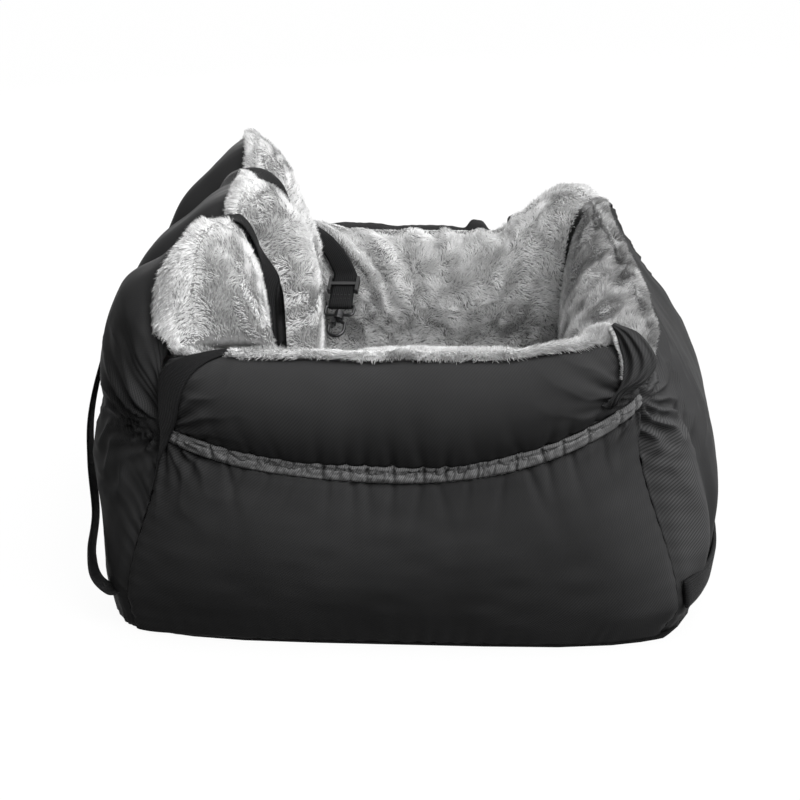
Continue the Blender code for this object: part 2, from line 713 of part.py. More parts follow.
def wire_form(path, radius, closed):
    """A round wire along a path in the XZ plane, as a bmesh."""
    path = np.array(path, float)
    if closed:
        ahead, behind = np.roll(path, -1, 0), np.roll(path, 1, 0)
    else:
        ahead = np.concatenate([path[1:], path[-1:]])
        behind = np.concatenate([path[:1], path[:-1]])
    tangent = ahead - behind
    tangent /= np.linalg.norm(tangent, axis=1, keepdims=True)
    side = np.array((0, 1, 0))
    across = np.cross(tangent, side)
    turn = np.linspace(0, 2 * math.pi, WIRE_SIDES, endpoint=False)
    rings = (path[:, None] + radius * (np.cos(turn)[None, :, None] * across[:, None]
                                       + np.sin(turn)[None, :, None] * side))
    form = bmesh.new()
    made = [[form.verts.new(p) for p in ring] for ring in rings]
    count = len(made)
    for i in range(count if closed else count - 1):
        one, two = made[i], made[(i + 1) % count]
        for j in range(WIRE_SIDES):
            k = (j + 1) % WIRE_SIDES
            form.faces.new((one[j], one[k], two[k], two[j]))
    if not closed:
        form.faces.new(made[0][::-1])
        form.faces.new(made[-1])
    bmesh.ops.triangulate(form, faces=form.faces[:])
    return form


def join(target, form, operation):
    """Adds a shape to an object, or cuts it out, with a live Boolean in the object's frame."""
    tool = add_form(target.name + "_" + operation.lower(), form, target.data.materials[0],
                    target.matrix_world)
    tool.hide_render = True
    tool.display_type = "WIRE"
    cut = target.modifiers.new(operation.title(), "BOOLEAN")
    cut.operation = operation
    cut.object = tool
    cut.solver = "EXACT"


def strap_rows(wall, us, ks, thick, gap):
    """Two grids, outer and inner, of a strap that lies on a wall along given places."""
    reach = wall.end_points(wall.height(us, ks), ks, us)[1]
    across = np.linspace(-1, 1, STRAP_COLUMNS)[None] * WEBBING / 2 / reach[:, None]
    u = np.clip(us[:, None] + across, -STRAP_LIMIT_SHARE, STRAP_LIMIT_SHARE)
    k = np.broadcast_to(ks[:, None], u.shape)
    points, normals = wall.surface(u, k), wall.normals(u, k)
    return points + normals * (gap + thick), points + normals * gap


def smooth_path(knots, count):
    """Points on a smooth curve through the knots, by Catmull and Rom's rule."""
    knots = np.array(knots, float)
    knots = np.concatenate([2 * knots[:1] - knots[1:2], knots, 2 * knots[-1:] - knots[-2:-1]])
    spans = len(knots) - 3
    s = np.linspace(0, spans, count)
    i = np.minimum(s.astype(int), spans - 1)
    t = (s - i)[:, None]
    a, b, c, d = knots[i], knots[i + 1], knots[i + 2], knots[i + 3]
    return 0.5 * (2 * b + (c - a) * t + (2 * a - 5 * b + 4 * c - d) * t * t
                  + (3 * b - a - 3 * c + d) * t ** 3)


def ribbon(path, widths, thick):
    """Outer and inner grids of a ribbon along a path, with its width direction at each point."""
    tangent = np.gradient(path, axis=0)
    tangent /= np.linalg.norm(tangent, axis=1, keepdims=True)
    widths = widths - np.sum(widths * tangent, axis=1, keepdims=True) * tangent
    widths /= np.linalg.norm(widths, axis=1, keepdims=True)
    normal = np.cross(tangent, widths)
    across = np.linspace(-1, 1, STRAP_COLUMNS)[None, :, None] * WEBBING / 2
    middle = path[:, None] + across * widths[:, None]
    lift = normal[:, None] * thick / 2
    return middle - lift, middle + lift


def add_backrest_strap(wall, side, name):
    """Webbing from behind the cushion up the inner face, over the ridge and down the neck.
    Below the neck it hangs slack and ends in the corner seam near the floor."""
    inner, outer = inner_places(SECTION_SHARES), outer_places(SECTION_SHARES)
    ks = np.concatenate([inner[STRAP_INNER_START:], outer[:STRAP_OUTER_END]])
    us = np.full(len(ks), side * STRAP_SHARE)
    top, foot = strap_rows(wall, us, ks, WEBBING_THICK, CLEARANCE)
    last = (top[-1] + foot[-1]).mean(0) / 2
    knots = [last] + [(x, side * y, z) for x, y, z in SLACK_KNOTS]
    path = smooth_path(knots, SLACK_COUNT)[1:]
    blend = ease(*SLACK_TWIST_SHARES, np.linspace(0, 1, len(path))[:, None])
    widths = np.array((0, 1, 0)) * (1 - blend) - np.array((0, 0, side)) * blend
    slack_top, slack_foot = ribbon(path, widths, WEBBING_THICK)
    points, faces = slab(np.concatenate([top, slack_top]), np.concatenate([foot, slack_foot]))
    add_object(name, points, faces, black_webbing())


def frame_at(origin, across, out, up):
    """A matrix that carries local X, Y and Z to across, out and up."""
    columns = np.eye(4)
    columns[:3, 0], columns[:3, 1], columns[:3, 2] = across, out, up
    columns[:3, 3] = origin
    return Matrix(columns.tolist())


def unit(vector):
    vector = np.array(vector, float)
    return vector / np.linalg.norm(vector)


def web_offset():
    """From the middle of the eye's bar to the middle of the webbing round it."""
    return EYE_WIRE / 2 + CLEARANCE + WEBBING_THICK / 2


def fold_rows():
    """The tether's end in its own frame: out and up places, with the side that faces out.
    It runs down to the eye's bar, round it and up again behind, where it is sewn."""
    r = web_offset()
    turn = np.linspace(0, math.pi, 7)
    rows = [(r * math.cos(a), -r * math.sin(a), math.cos(a), -math.sin(a)) for a in turn]
    behind = r - WEBBING_THICK - CLEARANCE
    rows.append((-r, HEM_STEP / 4, -1, 0))
    rows.append((behind, HEM_STEP, -1, 0))
    rows.append((behind, HEM_LENGTH, -1, 0))
    return rows


def tether_frame(side, last_top, last_foot):
    """The hardware's frame: its origin on the eye's bar, up the webbing and out of the wall."""
    row = (last_top + last_foot) / 2
    foot = np.array((TETHER_FOOT[0], side * TETHER_FOOT[1], TETHER_FOOT[2]))
    up = unit(row.mean(0) - foot)
    across = row[-1] - row[0]
    across = unit(across - np.dot(across, up) * up)
    out = np.cross(up, across)
    if np.dot(out, (last_top - last_foot).mean(0)) < 0:
        across, out = -across, -out
    origin = foot - out * web_offset()
    return origin, across, out, up


def add_tether(wall, side, name):
    """Webbing from the corner seam over the side wall's ridge to the snap hook's eye."""
    inner = inner_places(SECTION_SHARES)[-1 - TETHER_INNER_ROWS:]
    roll, band, lower = waist_places()
    outer = np.concatenate([roll, band, lower[:TETHER_LOWER_ROWS]])
    ks = np.concatenate([outer[::-1], inner[::-1]])
    us_outer = -TETHER_RIDGE_SHARE - (TETHER_SEAM_SHARE - TETHER_RIDGE_SHARE) * (
        outer / outer[-1])
    us_inner = -TETHER_RIDGE_SHARE + (TETHER_RIDGE_SHARE - TETHER_LIP_SHARE) * (
        inner[::-1] / inner[0])
    us = np.concatenate([us_outer[::-1], us_inner])
    top, foot = strap_rows(wall, us, ks, WEBBING_THICK, CLEARANCE + STUFFING_GAP)
    origin, across, out, up = tether_frame(side, top[-1], foot[-1])
    tops, feet = [], []
    if np.dot(across, top[-1][-1] - top[-1][0]) < 0:
        columns = -np.linspace(-1, 1, STRAP_COLUMNS)
    else:
        columns = np.linspace(-1, 1, STRAP_COLUMNS)
    for y, z, ny, nz in fold_rows():
        middle = origin + out * y + up * z + (columns * WEBBING / 2)[:, None] * across
        lift = (out * ny + up * nz) * WEBBING_THICK / 2
        tops.append(middle + lift)
        feet.append(middle - lift)
    points, faces = slab(np.concatenate([top, np.array(tops)]),
                         np.concatenate([foot, np.array(feet)]))
    add_object(name + "_tether_strap", points, faces, black_webbing())
    return frame_at(origin, across, out, up)


def add_adjuster(frame, name):
    """A three-bar slide. The middle bar lies before the webbing and the others behind it."""
    middle = web_offset()
    half = WEBBING / 2 + ADJUSTER_SIDE_CLEARANCE
    front = middle + WEBBING_THICK / 2 + CLEARANCE + ADJUSTER_BAR_THICK
    back = middle - WEBBING_THICK / 2 - CLEARANCE - ADJUSTER_BAR_THICK
    place = frame @ Matrix.Translation((0, (front + back) / 2, ADJUSTER_START
                                        + ADJUSTER_LENGTH / 2))
    depth = (front - back) / 2
    rail = (ADJUSTER_RAIL / 2, depth + ADJUSTER_BEVEL, ADJUSTER_LENGTH / 2)
    x = half + ADJUSTER_RAIL / 2
    made = add_form(name + "_tether_adjuster", box_form((x, 0, 0), rail, ADJUSTER_BEVEL),
                    black_plastic(), place)
    join(made, box_form((-x, 0, 0), rail, ADJUSTER_BEVEL), "UNION")
    bar = (x, ADJUSTER_BAR_THICK / 2, ADJUSTER_BAR / 2)
    y = depth - ADJUSTER_BAR_THICK / 2
    end = ADJUSTER_LENGTH / 2 - ADJUSTER_BAR / 2 - 2 * ADJUSTER_BEVEL
    for z, side in ((0, 1), (end, -1), (-end, -1)):
        join(made, box_form((0, side * y, z), bar), "UNION")


def rounded_loop(half_x, low, high, corner):
    """A closed path round a rectangle with round corners, as x, 0, z points."""
    turn = np.linspace(0, math.pi / 2, 4)
    centres = ((half_x - corner, high - corner, 0), (-half_x + corner, high - corner, 1),
               (-half_x + corner, low + corner, 2), (half_x - corner, low + corner, 3))
    return [(x + corner * math.cos(a + q * math.pi / 2), 0,
             z + corner * math.sin(a + q * math.pi / 2)) for x, z, q in centres for a in turn]


def add_eye(frame, name):
    """The wire eye that the webbing holds, with the boss that the hook's post turns in."""
    half_x = WEBBING / 2 + EYE_SIDE_CLEARANCE + EYE_WIRE / 2
    loop = rounded_loop(half_x, 0, EYE_LENGTH, EYE_CORNER)
    place = frame @ Matrix.Translation((0, 0, -EYE_LENGTH))
    eye = add_form(name + "_hook_eye", wire_form(loop, EYE_WIRE / 2, True), black_metal(),
                   place, True)
    half = BOSS_LENGTH / 2
    join(eye, drum_form(-half, half, BOSS_RADIUS), "UNION")
    join(eye, drum_form(-half - OVERRUN, half + OVERRUN, POST_RADIUS + CLEARANCE),
         "DIFFERENCE")


def gate_place():
    """The gate pin's place in the hook's frame, whose origin is on the collar's foot."""
    return HOOK_BEND - HOOK_WIRE / 2 - CLEARANCE - LUG_WIDTH / 2, -LUG_HEIGHT / 2


def add_snap_hook(frame, name):
    """The swivelling hook: a headed post in the eye's boss, a collar with two lugs, a bend."""
    place = frame @ Matrix.Translation((0, 0, -EYE_LENGTH - BOSS_LENGTH / 2 - CLEARANCE
                                        - COLLAR_LENGTH))
    head_foot = COLLAR_LENGTH + BOSS_LENGTH + 2 * CLEARANCE
    profile = ((POST_HEAD_RADIUS, head_foot + POST_HEAD), (POST_HEAD_RADIUS, head_foot),
               (POST_RADIUS, head_foot), (POST_RADIUS, COLLAR_LENGTH),
               (BOSS_RADIUS, COLLAR_LENGTH), (BOSS_RADIUS, 0))
    hook = add_form(name + "_snap_hook", turned_form(profile), black_metal(), place, True)
    shank = BOSS_RADIUS - HOOK_WIRE / 2 - 2 * CLEARANCE
    bend = HOOK_BEND - HOOK_DROP
    path = [(-shank, 0, COLLAR_LENGTH / 2), (-shank, 0, -COLLAR_LENGTH / 2),
            (-HOOK_BEND, 0, -HOOK_NECK)]
    path += [(-HOOK_BEND * math.cos(a), 0, bend - HOOK_BEND * math.sin(a))
             for a in np.linspace(0, math.pi, 10)]
    path.append((HOOK_BEND, 0, bend + HOOK_TIP))
    join(hook, wire_form(path, HOOK_WIRE / 2, False), "UNION")
    x, z = gate_place()
    y = GATE_THICK / 2 + CLEARANCE + LUG_THICK / 2
    for side in (-1, 1):
        lug = (LUG_WIDTH / 2, LUG_THICK / 2, (LUG_HEIGHT + COLLAR_LENGTH) / 2)
        join(hook, box_form((x, side * y, z + COLLAR_LENGTH / 4), lug), "UNION")
    reach = y + LUG_THICK / 2
    join(hook, drum_form(-reach - OVERRUN, reach + OVERRUN, GATE_PIN_RADIUS + CLEARANCE, "Y",
                         (x, 0, z)), "DIFFERENCE")
    pin = place @ Matrix.Translation((x, 0, z))
    add_form(name + "_gate_pin", drum_form(-reach, reach, GATE_PIN_RADIUS, "Y"),
             black_metal(), pin, True)
    return pin


def add_gate(pin, name):
    """The gate: a blade that hangs from its pin and rests behind the hook's tip."""
    x, z = gate_place()
    half = GATE_WIDTH / 2
    blade_x = HOOK_BEND - HOOK_WIRE / 2 - CLEARANCE - half - x
    blade_z = HOOK_BEND - HOOK_DROP + HOOK_TIP - GATE_OVERLAP - z
    place = pin @ Matrix.Rotation(-math.atan2(blade_x, -blade_z), 4, "Y")
    length = math.hypot(blade_x, blade_z)
    gate = add_form(name + "_hook_gate",
                    drum_form(-GATE_THICK / 2, GATE_THICK / 2, GATE_BOSS_RADIUS, "Y"),
                    black_metal(), place, True)
    blade = (half, GATE_THICK / 2 - GATE_STEP, length / 2)
    join(gate, box_form((0, 0, -length / 2), blade), "UNION")
    join(gate, drum_form(-GATE_THICK, GATE_THICK, GATE_PIN_RADIUS + CLEARANCE, "Y"),
         "DIFFERENCE")


def add_front_strap(wall):
    """Webbing across the foot of the front wall's outer face, between the corner seams."""
    us = np.clip(np.array(WALL_SHARES), -STRAP_LIMIT_SHARE, STRAP_LIMIT_SHARE)[:, None]
    z = FRONT_STRAP_HEIGHT + np.linspace(-1, 1, STRAP_COLUMNS)[None] * WEBBING / 2
    u, z = np.broadcast_arrays(us, z)
    k = wall.outer_place(u, z)
    points, normals = wall.surface(u, k), wall.normals(u, k)
    grids = slab(points + normals * (CLEARANCE + WEBBING_THICK), points + normals * CLEARANCE)
    add_object("front_lower_strap", *grids, black_webbing())


def comb_form(run, foot):
    """The zip's closed teeth on their bead, with a higher stop at each end of the run."""
    half = ZIP_TEETH / 2
    section = ((foot, -half), (foot, half), (foot + ZIP_BEAD, half), (foot + ZIP_BEAD, -half))
    count = int(2 * run / ZIP_PITCH)
    middles = (np.arange(count) - (count - 1) / 2) * ZIP_PITCH
    edges = np.stack([middles - ZIP_TOOTH / 2, middles + ZIP_TOOTH / 2], 1).ravel()
    stations = [-run - ZIP_STOP, -run, *edges, run, run + ZIP_STOP]
    form = bmesh.new()
    rings = [[form.verts.new((x, y, z)) for y, z in section] for x in stations]
    tops = []
    for one, two in zip(rings, rings[1:]):
        for j in range(4):
            k = (j + 1) % 4
            face = form.faces.new((one[j], one[k], two[k], two[j]))
            if j == 2:
                tops.append(face)
    form.faces.new(rings[0])
    form.faces.new(rings[-1][::-1])
    for faces, rise in ((tops[2:-2:2], ZIP_TEETH_THICK), ((tops[0], tops[-1]), ZIP_STOP_HEIGHT)):
        for face in bmesh.ops.extrude_discrete_faces(form, faces=list(faces))["faces"]:
            bmesh.ops.translate(form, verts=face.verts, vec=(0, rise - ZIP_BEAD, 0))
    return form


def zip_frame(wall):
    """On the outer face: X along the zip, Y out of the wall, Z down the wall. It starts
    level with the face's highest point under the tape."""
    k = wall.outer_place(np.array([0.0]), ZIP_HEIGHT)
    origin, out = wall.surface(0, k)[0], wall.normals(0, k)[0]
    along = np.array((0, -1, 0))
    out = unit(out - np.dot(out, along) * along)
    us = np.linspace(-1, 1, ZIP_SAMPLES) * ZIP_LENGTH / 2 / SEAM_HALF_DEPTH
    heights = ZIP_HEIGHT + np.linspace(-1, 1, ZIP_SAMPLES) * ZIP_TAPE / 2
    rises = [(wall.surface(us, wall.outer_place(us, height)) - origin) @ out for height in heights]
    return frame_at(origin + out * np.max(rises), along, out, np.cross(along, out))


def add_zip(wall):
    """Tape, teeth with their end stops, slider and pull of the filling's zip."""
    frame = zip_frame(wall)
    tape_top = ZIP_TAPE_GAP + ZIP_TAPE_THICK
    tape = box_form((0, ZIP_TAPE_GAP + ZIP_TAPE_THICK / 2, 0),
                    (ZIP_LENGTH / 2, ZIP_TAPE_THICK / 2, ZIP_TAPE / 2))
    add_form("zip_tape", tape, base_cloth(), frame)

    teeth_foot = tape_top + CLEARANCE
    teeth_top = teeth_foot + ZIP_TEETH_THICK
    run = ZIP_LENGTH / 2 - ZIP_END - ZIP_STOP
    add_form("zip_teeth", comb_form(run, teeth_foot), black_plastic(), frame)

    half_in = ZIP_TEETH / 2 + CLEARANCE
    half_out = half_in + SLIDER_WALL
    plate_foot = teeth_top + CLEARANCE
    plate_top = plate_foot + SLIDER_WALL
    barrel = PULL_BAR_RADIUS + CLEARANCE + PULL_BARREL_WALL
    axis = barrel + CLEARANCE
    rest = run - SLIDER_LENGTH / 2 - CLEARANCE
    place = frame @ Matrix.Translation((rest, plate_top, 0))
    foot = teeth_foot - plate_top
    body = box_form((0, foot / 2, 0), (SLIDER_LENGTH / 2, -foot / 2, half_out))
    slider = add_form("zip_slider", body, black_metal(), place)
    groove = box_form((0, foot - SLIDER_WALL, 0), (SLIDER_LENGTH, -foot, half_in))
    join(slider, groove, "DIFFERENCE")
    ear_z = PULL_BARREL / 2 + CLEARANCE + EAR_THICK / 2
    ear = (EAR_LENGTH / 2, (axis + PULL_BAR_RADIUS * 2) / 2, EAR_THICK / 2)
    for side in (-1, 1):
        join(slider, box_form((0, ear[1] - SLIDER_WALL / 2, side * ear_z), ear), "UNION")
    join(slider, drum_form(-ear_z, ear_z, PULL_BAR_RADIUS, "Z", (0, axis, 0)), "UNION")

    hinge = place @ Matrix.Translation((0, axis, 0))
    pull = add_form("zip_pull", drum_form(-PULL_BARREL / 2, PULL_BARREL / 2, barrel),
                    black_metal(), hinge, True)
    leaf = (PULL_LENGTH / 2, PULL_THICK / 2, PULL_BARREL / 2 - CLEARANCE)
    join(pull, box_form((-PULL_LENGTH / 2 - PULL_BAR_RADIUS, 0, 0), leaf), "UNION")
    join(pull, drum_form(-PULL_BARREL, PULL_BARREL, PULL_BAR_RADIUS + CLEARANCE), "DIFFERENCE")


def build():
    clear_scene()
    walls = make_walls()
    add_tall_wall(walls["back"], "backrest", LOBE_SHARES)
    add_tall_wall(walls["front"], "front_wall", WALL_SHARES)
    add_side_wall(walls["near"], "near_side", WALL_SHARES)
    add_side_wall(walls["far"], "far_side", WALL_SHARES)
    add_bottom_panel(walls)
    add_seat()
    add_front_strap(walls["front"])
    add_zip(walls["back"])
    for side, name in ((-1, "near"), (1, "far")):
        add_backrest_strap(walls["back"], side, name + "_backrest_strap")
        wall = walls[name]
        frame = add_tether(wall, side, name)
        add_adjuster(frame, name)
        add_eye(frame, name)
        pin = add_snap_hook(frame, name)
        add_gate(pin, name)


build()
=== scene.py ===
import math
import bpy
import bmesh
import numpy as np
from mathutils import Matrix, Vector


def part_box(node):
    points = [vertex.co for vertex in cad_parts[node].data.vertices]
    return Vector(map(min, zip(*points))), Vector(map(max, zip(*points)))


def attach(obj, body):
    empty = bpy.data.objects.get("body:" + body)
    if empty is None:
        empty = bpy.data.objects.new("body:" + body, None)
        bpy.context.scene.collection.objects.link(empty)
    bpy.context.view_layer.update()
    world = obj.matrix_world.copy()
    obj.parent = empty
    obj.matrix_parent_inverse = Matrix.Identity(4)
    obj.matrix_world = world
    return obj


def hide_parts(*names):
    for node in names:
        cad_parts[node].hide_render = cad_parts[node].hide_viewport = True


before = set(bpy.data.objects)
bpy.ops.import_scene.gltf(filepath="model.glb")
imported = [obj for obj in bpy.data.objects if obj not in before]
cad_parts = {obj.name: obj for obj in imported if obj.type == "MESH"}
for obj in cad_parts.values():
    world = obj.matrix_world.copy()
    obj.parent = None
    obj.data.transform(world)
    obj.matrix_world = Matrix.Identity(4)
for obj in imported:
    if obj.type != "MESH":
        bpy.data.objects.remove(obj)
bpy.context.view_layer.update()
mm = 0.001

# The view
# The camera looks at the near side from a little above. The floor and the backdrop are one
# pale sweep. A wide soft sun and three broad lamps light the seat from above, front and back.


def placed(name, data):
    """A new object with this data, linked into the scene."""
    made = bpy.data.objects.new(name, data)
    bpy.context.scene.collection.objects.link(made)
    return made


def feed(node, inputs):
    """Gives each named input of a shader node a value, or a link from another node's output."""
    for name, value in inputs.items():
        if isinstance(value, bpy.types.NodeSocket):
            node.id_data.links.new(value, node.inputs[name])
        else:
            node.inputs[name].default_value = value


def add(tree, kind, inputs):
    """A new shader node of that kind in a tree, with its inputs fed."""
    node = tree.nodes.new("ShaderNode" + kind)
    feed(node, inputs)
    return node


def combined(tree, operation, *values):
    """The result of a Math node on numbers or other nodes' outputs."""
    node = add(tree, "Math", {})
    node.operation = operation
    feed(node, dict(enumerate(values)))
    return node.outputs[0]


def shader(name, colour, roughness, specular=0.5):
    """A new material, with its node tree and its Principled shader."""
    made = bpy.data.materials.new(name)
    made.use_nodes = True
    paint = made.node_tree.nodes["Principled BSDF"]
    feed(paint, {"Base Color": (*colour, 1), "Roughness": roughness,
                 "Specular IOR Level": specular})
    return made, made.node_tree, paint


def seen_directly(tree):
    """1 on camera, glossy and transmission rays, and 0 on diffuse ones."""
    rays = add(tree, "LightPath", {})
    total = rays.outputs["Is Camera Ray"]
    for kind in ("Is Glossy Ray", "Is Transmission Ray"):
        total = combined(tree, "MAXIMUM", total, rays.outputs[kind])
    return total


camera_data = bpy.data.cameras.new("camera")
camera_data.lens = 65.64
camera_data.shift_x = -0.06
camera_data.shift_y = -0.0166
camera = placed("camera", camera_data)
camera.location = (0.1147, -1.3434, 0.7290)
turn = Matrix.Identity(3)
for axis, degrees in (("Z", 3.56), ("X", 66.77), ("Z", -0.67)):
    turn = turn @ Matrix.Rotation(math.radians(degrees), 3, axis)
camera.rotation_euler = turn.to_euler()
bpy.context.scene.camera = camera

FLOOR_GLOW, FLOOR_REACH = 0.95, 6
floor_finish, tree, paint = shader("pale_floor", (0.05, 0.05, 0.05), roughness=0.9, specular=0)
glow = combined(tree, "MULTIPLY", seen_directly(tree), FLOOR_GLOW)
feed(paint, {"Emission Color": (1, 1, 1, 1), "Emission Strength": glow})
floor_mesh = bpy.data.meshes.new("floor")
floor_corners = [(x * FLOOR_REACH, y * FLOOR_REACH, 0) for x, y in ((-1, -1), (1, -1), (1, 1), (-1, 1))]
floor_mesh.from_pydata(floor_corners, [], [(0, 1, 2, 3)])
floor_mesh.materials.append(floor_finish)
placed("floor", floor_mesh)

SKY_LIGHT, BACKDROP_WHITE = 0.05, 1.0
world = bpy.data.worlds.new("backdrop")
world.use_nodes = True
bpy.context.scene.world = world
tree = world.node_tree
level = add(tree, "MapRange", {"Value": seen_directly(tree), "To Min": SKY_LIGHT,
                               "To Max": BACKDROP_WHITE})
feed(tree.nodes["Background"], {"Color": (1, 1, 1, 1), "Strength": level.outputs["Result"]})

sun_data = bpy.data.lights.new("soft_sun", "SUN")
sun_data.energy = 3.3
sun_data.angle = math.radians(75)
placed("soft_sun", sun_data).rotation_euler = (math.radians(12), math.radians(31), 0)

LAMPS = (
    ("lamp_above", (0.45, -0.5, 1.5), (-0.05, -0.05, 0.2), 0.9, 9),
    ("lamp_front", (1.2, -1.7, 0.9), (0.10, 0.0, 0.2), 1.0, 6),
    ("lamp_back", (-0.8, 1.8, 1.1), (-0.05, 0.05, 0.2), 1.2, 24),
)
for name, place, aim, size, power in LAMPS:
    lamp_data = bpy.data.lights.new(name, "AREA")
    lamp_data.shape = "DISK"
    lamp_data.size = size
    lamp_data.energy = power
    lamp = placed(name, lamp_data)
    lamp.location = place
    away = np.array(place) - np.array(aim)
    lamp.rotation_euler = (math.atan2(math.hypot(away[0], away[1]), away[2]), 0,
                           math.atan2(away[0], -away[1]))

bpy.context.scene.view_settings.view_transform = "Standard"

# Near and far side walls: lower panel
# A low stuffed wall on each side. Its lower panel is black nylon twill, sewn into the corner
# seams and the base, and gathered up to the elastic waist. The fibre filling swells it.

# The corner seams, the well's inner faces, the top of the base cloth, the least gap between
# pieces, the side walls' ridge, and the height of the waist in its middle with its rise to the
# corners. The band and the ridge seam are at shares of a wall's section, from 0 at its foot to
# 1 on its ridge.
SEAM_X, SEAM_Y = 250 * mm, 226 * mm
WELL_BACK, WELL_FRONT, WELL_Y = 112 * mm, 150 * mm, 150 * mm
FLOOR, GAP = 2.75 * mm, 0.35 * mm
CUSHION_TOP = 153 * mm
SIDE_RIDGE, SIDE_TOP = 192 * mm, 262 * mm
WAIST_LOW, REAR_RISE, FRONT_RISE = 167 * mm, 30 * mm, 60 * mm
BAND_FOOT, BAND_TOP, BAND_GAP = 0.478, 0.518, 0.0016
WAIST, RIDGE_SEAM = 0.5, 0.995


def ease(low, high, value):
    """Goes from 0 at low to 1 at high, as 3s^2 - 2s^3 of the share s between them."""
    share = np.clip((value - low) / (high - low), 0, 1)
    return share * share * (3 - 2 * share)


def curve(value, places, shares):
    """A smooth curve through the shares at the places, by cubic Hermite spans."""
    places, shares = np.array(places, float), np.array(shares, float)
    slope = np.gradient(shares, places)
    i = np.clip(np.searchsorted(places, value, side="right") - 1, 0, len(places) - 2)
    width = places[i + 1] - places[i]
    t = np.clip((value - places[i]) / width, 0, 1)
    ends = (2 * t ** 3 - 3 * t ** 2 + 1) * shares[i] + (3 * t ** 2 - 2 * t ** 3) * shares[i + 1]
    return ends + ((t ** 3 - 2 * t ** 2 + t) * slope[i] + (t ** 3 - t ** 2) * slope[i + 1]) * width


def lumps(x, y, size, seed):
    """Smooth noise from -1 to 1: random values on a lattice of that size, eased between."""
    count = 61
    lattice = np.random.default_rng(seed).uniform(-1, 1, (count, count))
    x, y = x / size + 7.3, y / size + 11.9
    i, j = np.floor(x).astype(int), np.floor(y).astype(int)
    a, b = x - i, y - j
    a, b = a * a * (3 - 2 * a), b * b * (3 - 2 * b)
    i, j, after_i, after_j = i % count, j % count, (i + 1) % count, (j + 1) % count
    low = lattice[i, j] * (1 - a) + lattice[after_i, j] * a
    high = lattice[i, after_j] * (1 - a) + lattice[after_i, after_j] * a
    return low * (1 - b) + high * b


def unit(vectors):
    """The vectors at length 1, each divided by its own length."""
    return vectors / np.maximum(np.linalg.norm(vectors, axis=-1, keepdims=True), 1e-12)


def amid(u):
    """1 in the middle of a wall and 0 in its corner seams, as 1 - |u|^5."""
    return 1 - np.abs(u) ** 5


class StuffedWall:
    """A wall of the seat. u runs along it from -1 to 1. k goes over its section: -1 at the
    inner foot, 0 on the ridge seam and 1 at the outer foot. The ends lie on the mitre between
    the well's corner and the corner seam."""

    def __init__(self, out, facing, well, belly, inner_round):
        """The axis that the wall faces along, the sign of its side, where its inner face
        stands, how far that swells, and the height at which it rounds off to the ridge."""
        self.out, self.facing, self.well = out, facing, well
        self.belly, self.inner_round = belly, inner_round

    def height(self, u, k):
        """The height over the section: 1 - k^2 of the way from the floor to the ridge."""
        return FLOOR + (self.top(u) - FLOOR) * (1 - np.abs(k) ** 2)

    def lean(self, z, u):
        """0 below the inner rounding and 1 on the ridge, along a quarter ellipse."""
        q = np.clip((z - self.inner_round) / (self.top(u) - self.inner_round), 0, 1)
        return 1 - np.sqrt(1 - q * q)

    def puff(self, u):
        """The share of the belly along the wall."""
        return amid(u)

    def at_back(self, u):
        """Whether a place on the wall belongs to one of the two rear corners."""
        return u < 0 if self.out == "y" else self.facing + 0 * u < 0

    def corner(self, u):
        """The well's corner and the run from it to the corner seam, both out and along."""
        well_x = np.where(self.at_back(u), WELL_BACK, WELL_FRONT)
        run_x, run_y = SEAM_X - well_x, SEAM_Y - WELL_Y
        if self.out == "x":
            return well_x, WELL_Y, run_x, run_y
        return WELL_Y, well_x, run_y, run_x

    def ends(self, z, k, u):
        """Out and along of the wall's end at a height, drawn in by the elastic and the foot."""
        well_out, well_along, run_out, run_along = self.corner(u)
        draw = 40 * mm * ease(30 * mm, WAIST_LOW + REAR_RISE, z)
        tuck = np.where(self.at_back(u), 4 * mm, 14 * mm) * (1 - ease(0, 40 * mm, z))
        run_x = run_out if self.out == "x" else run_along
        ridge = np.where(self.at_back(u), 0.75, 0.5)
        outward = ridge + (1 - ridge) * np.sqrt(1 - (1 - np.abs(k)) ** 4)
        share = np.where(k < 0, ridge * self.lean(z, u), outward) * (1 - (draw + tuck) / run_x)
        return well_out + run_out * share, well_along + run_along * share

    def surface(self, u, k):
        """Points in the seat's frame. The section swells from its ends as 1 - |u|^5."""
        u, k = np.broadcast_arrays(np.asarray(u, float), np.asarray(k, float))
        z = self.height(u, k)
        lean = self.lean(z, u)
        end_out, end_along = self.ends(z, k, u)
        ridge = self.ridge_line(u)
        swell = self.belly * self.puff(u) * ease(CUSHION_TOP - 8 * mm, CUSHION_TOP + 25 * mm, z)
        inner = self.well - swell * (1 - lean) + (ridge - self.well) * lean
        middle = np.where(k < 0, inner, self.outer(z, u, k))
        out = (end_out + (middle - end_out) * amid(u)) * self.facing
        along = u * end_along
        x, y = (out, along) if self.out == "x" else (along, out)
        return np.stack([x, y, z], -1)

    def normals(self, u, k):
        """Unit vectors out of the wall: the cross product of the surface's two slopes."""
        u, k = np.broadcast_arrays(np.asarray(u, float), np.asarray(k, float))
        step = 1e-3
        along = (self.surface(np.clip(u + step, -1, 1), k)
                 - self.surface(np.clip(u - step, -1, 1), k))
        around = (self.surface(u, np.clip(k + step, -1, 1))
                  - self.surface(u, np.clip(k - step, -1, 1)))
        return unit(np.cross(along, around)) * (-1 if self.out == "x" else 1) * self.facing

    def held(self, points, u):
        """The points, kept on their own side of the mitres and above the base cloth."""
        well_out, well_along, run_out, run_along = self.corner(u)
        out_axis, along_axis = (0, 1) if self.out == "x" else (1, 0)
        out = points[..., out_axis] * self.facing
        limit = well_along + (out - well_out) * run_along / run_out - GAP
        points[..., along_axis] = np.clip(points[..., along_axis], -limit, limit)
        points[..., 2] = np.maximum(points[..., 2], FLOOR)
        return points


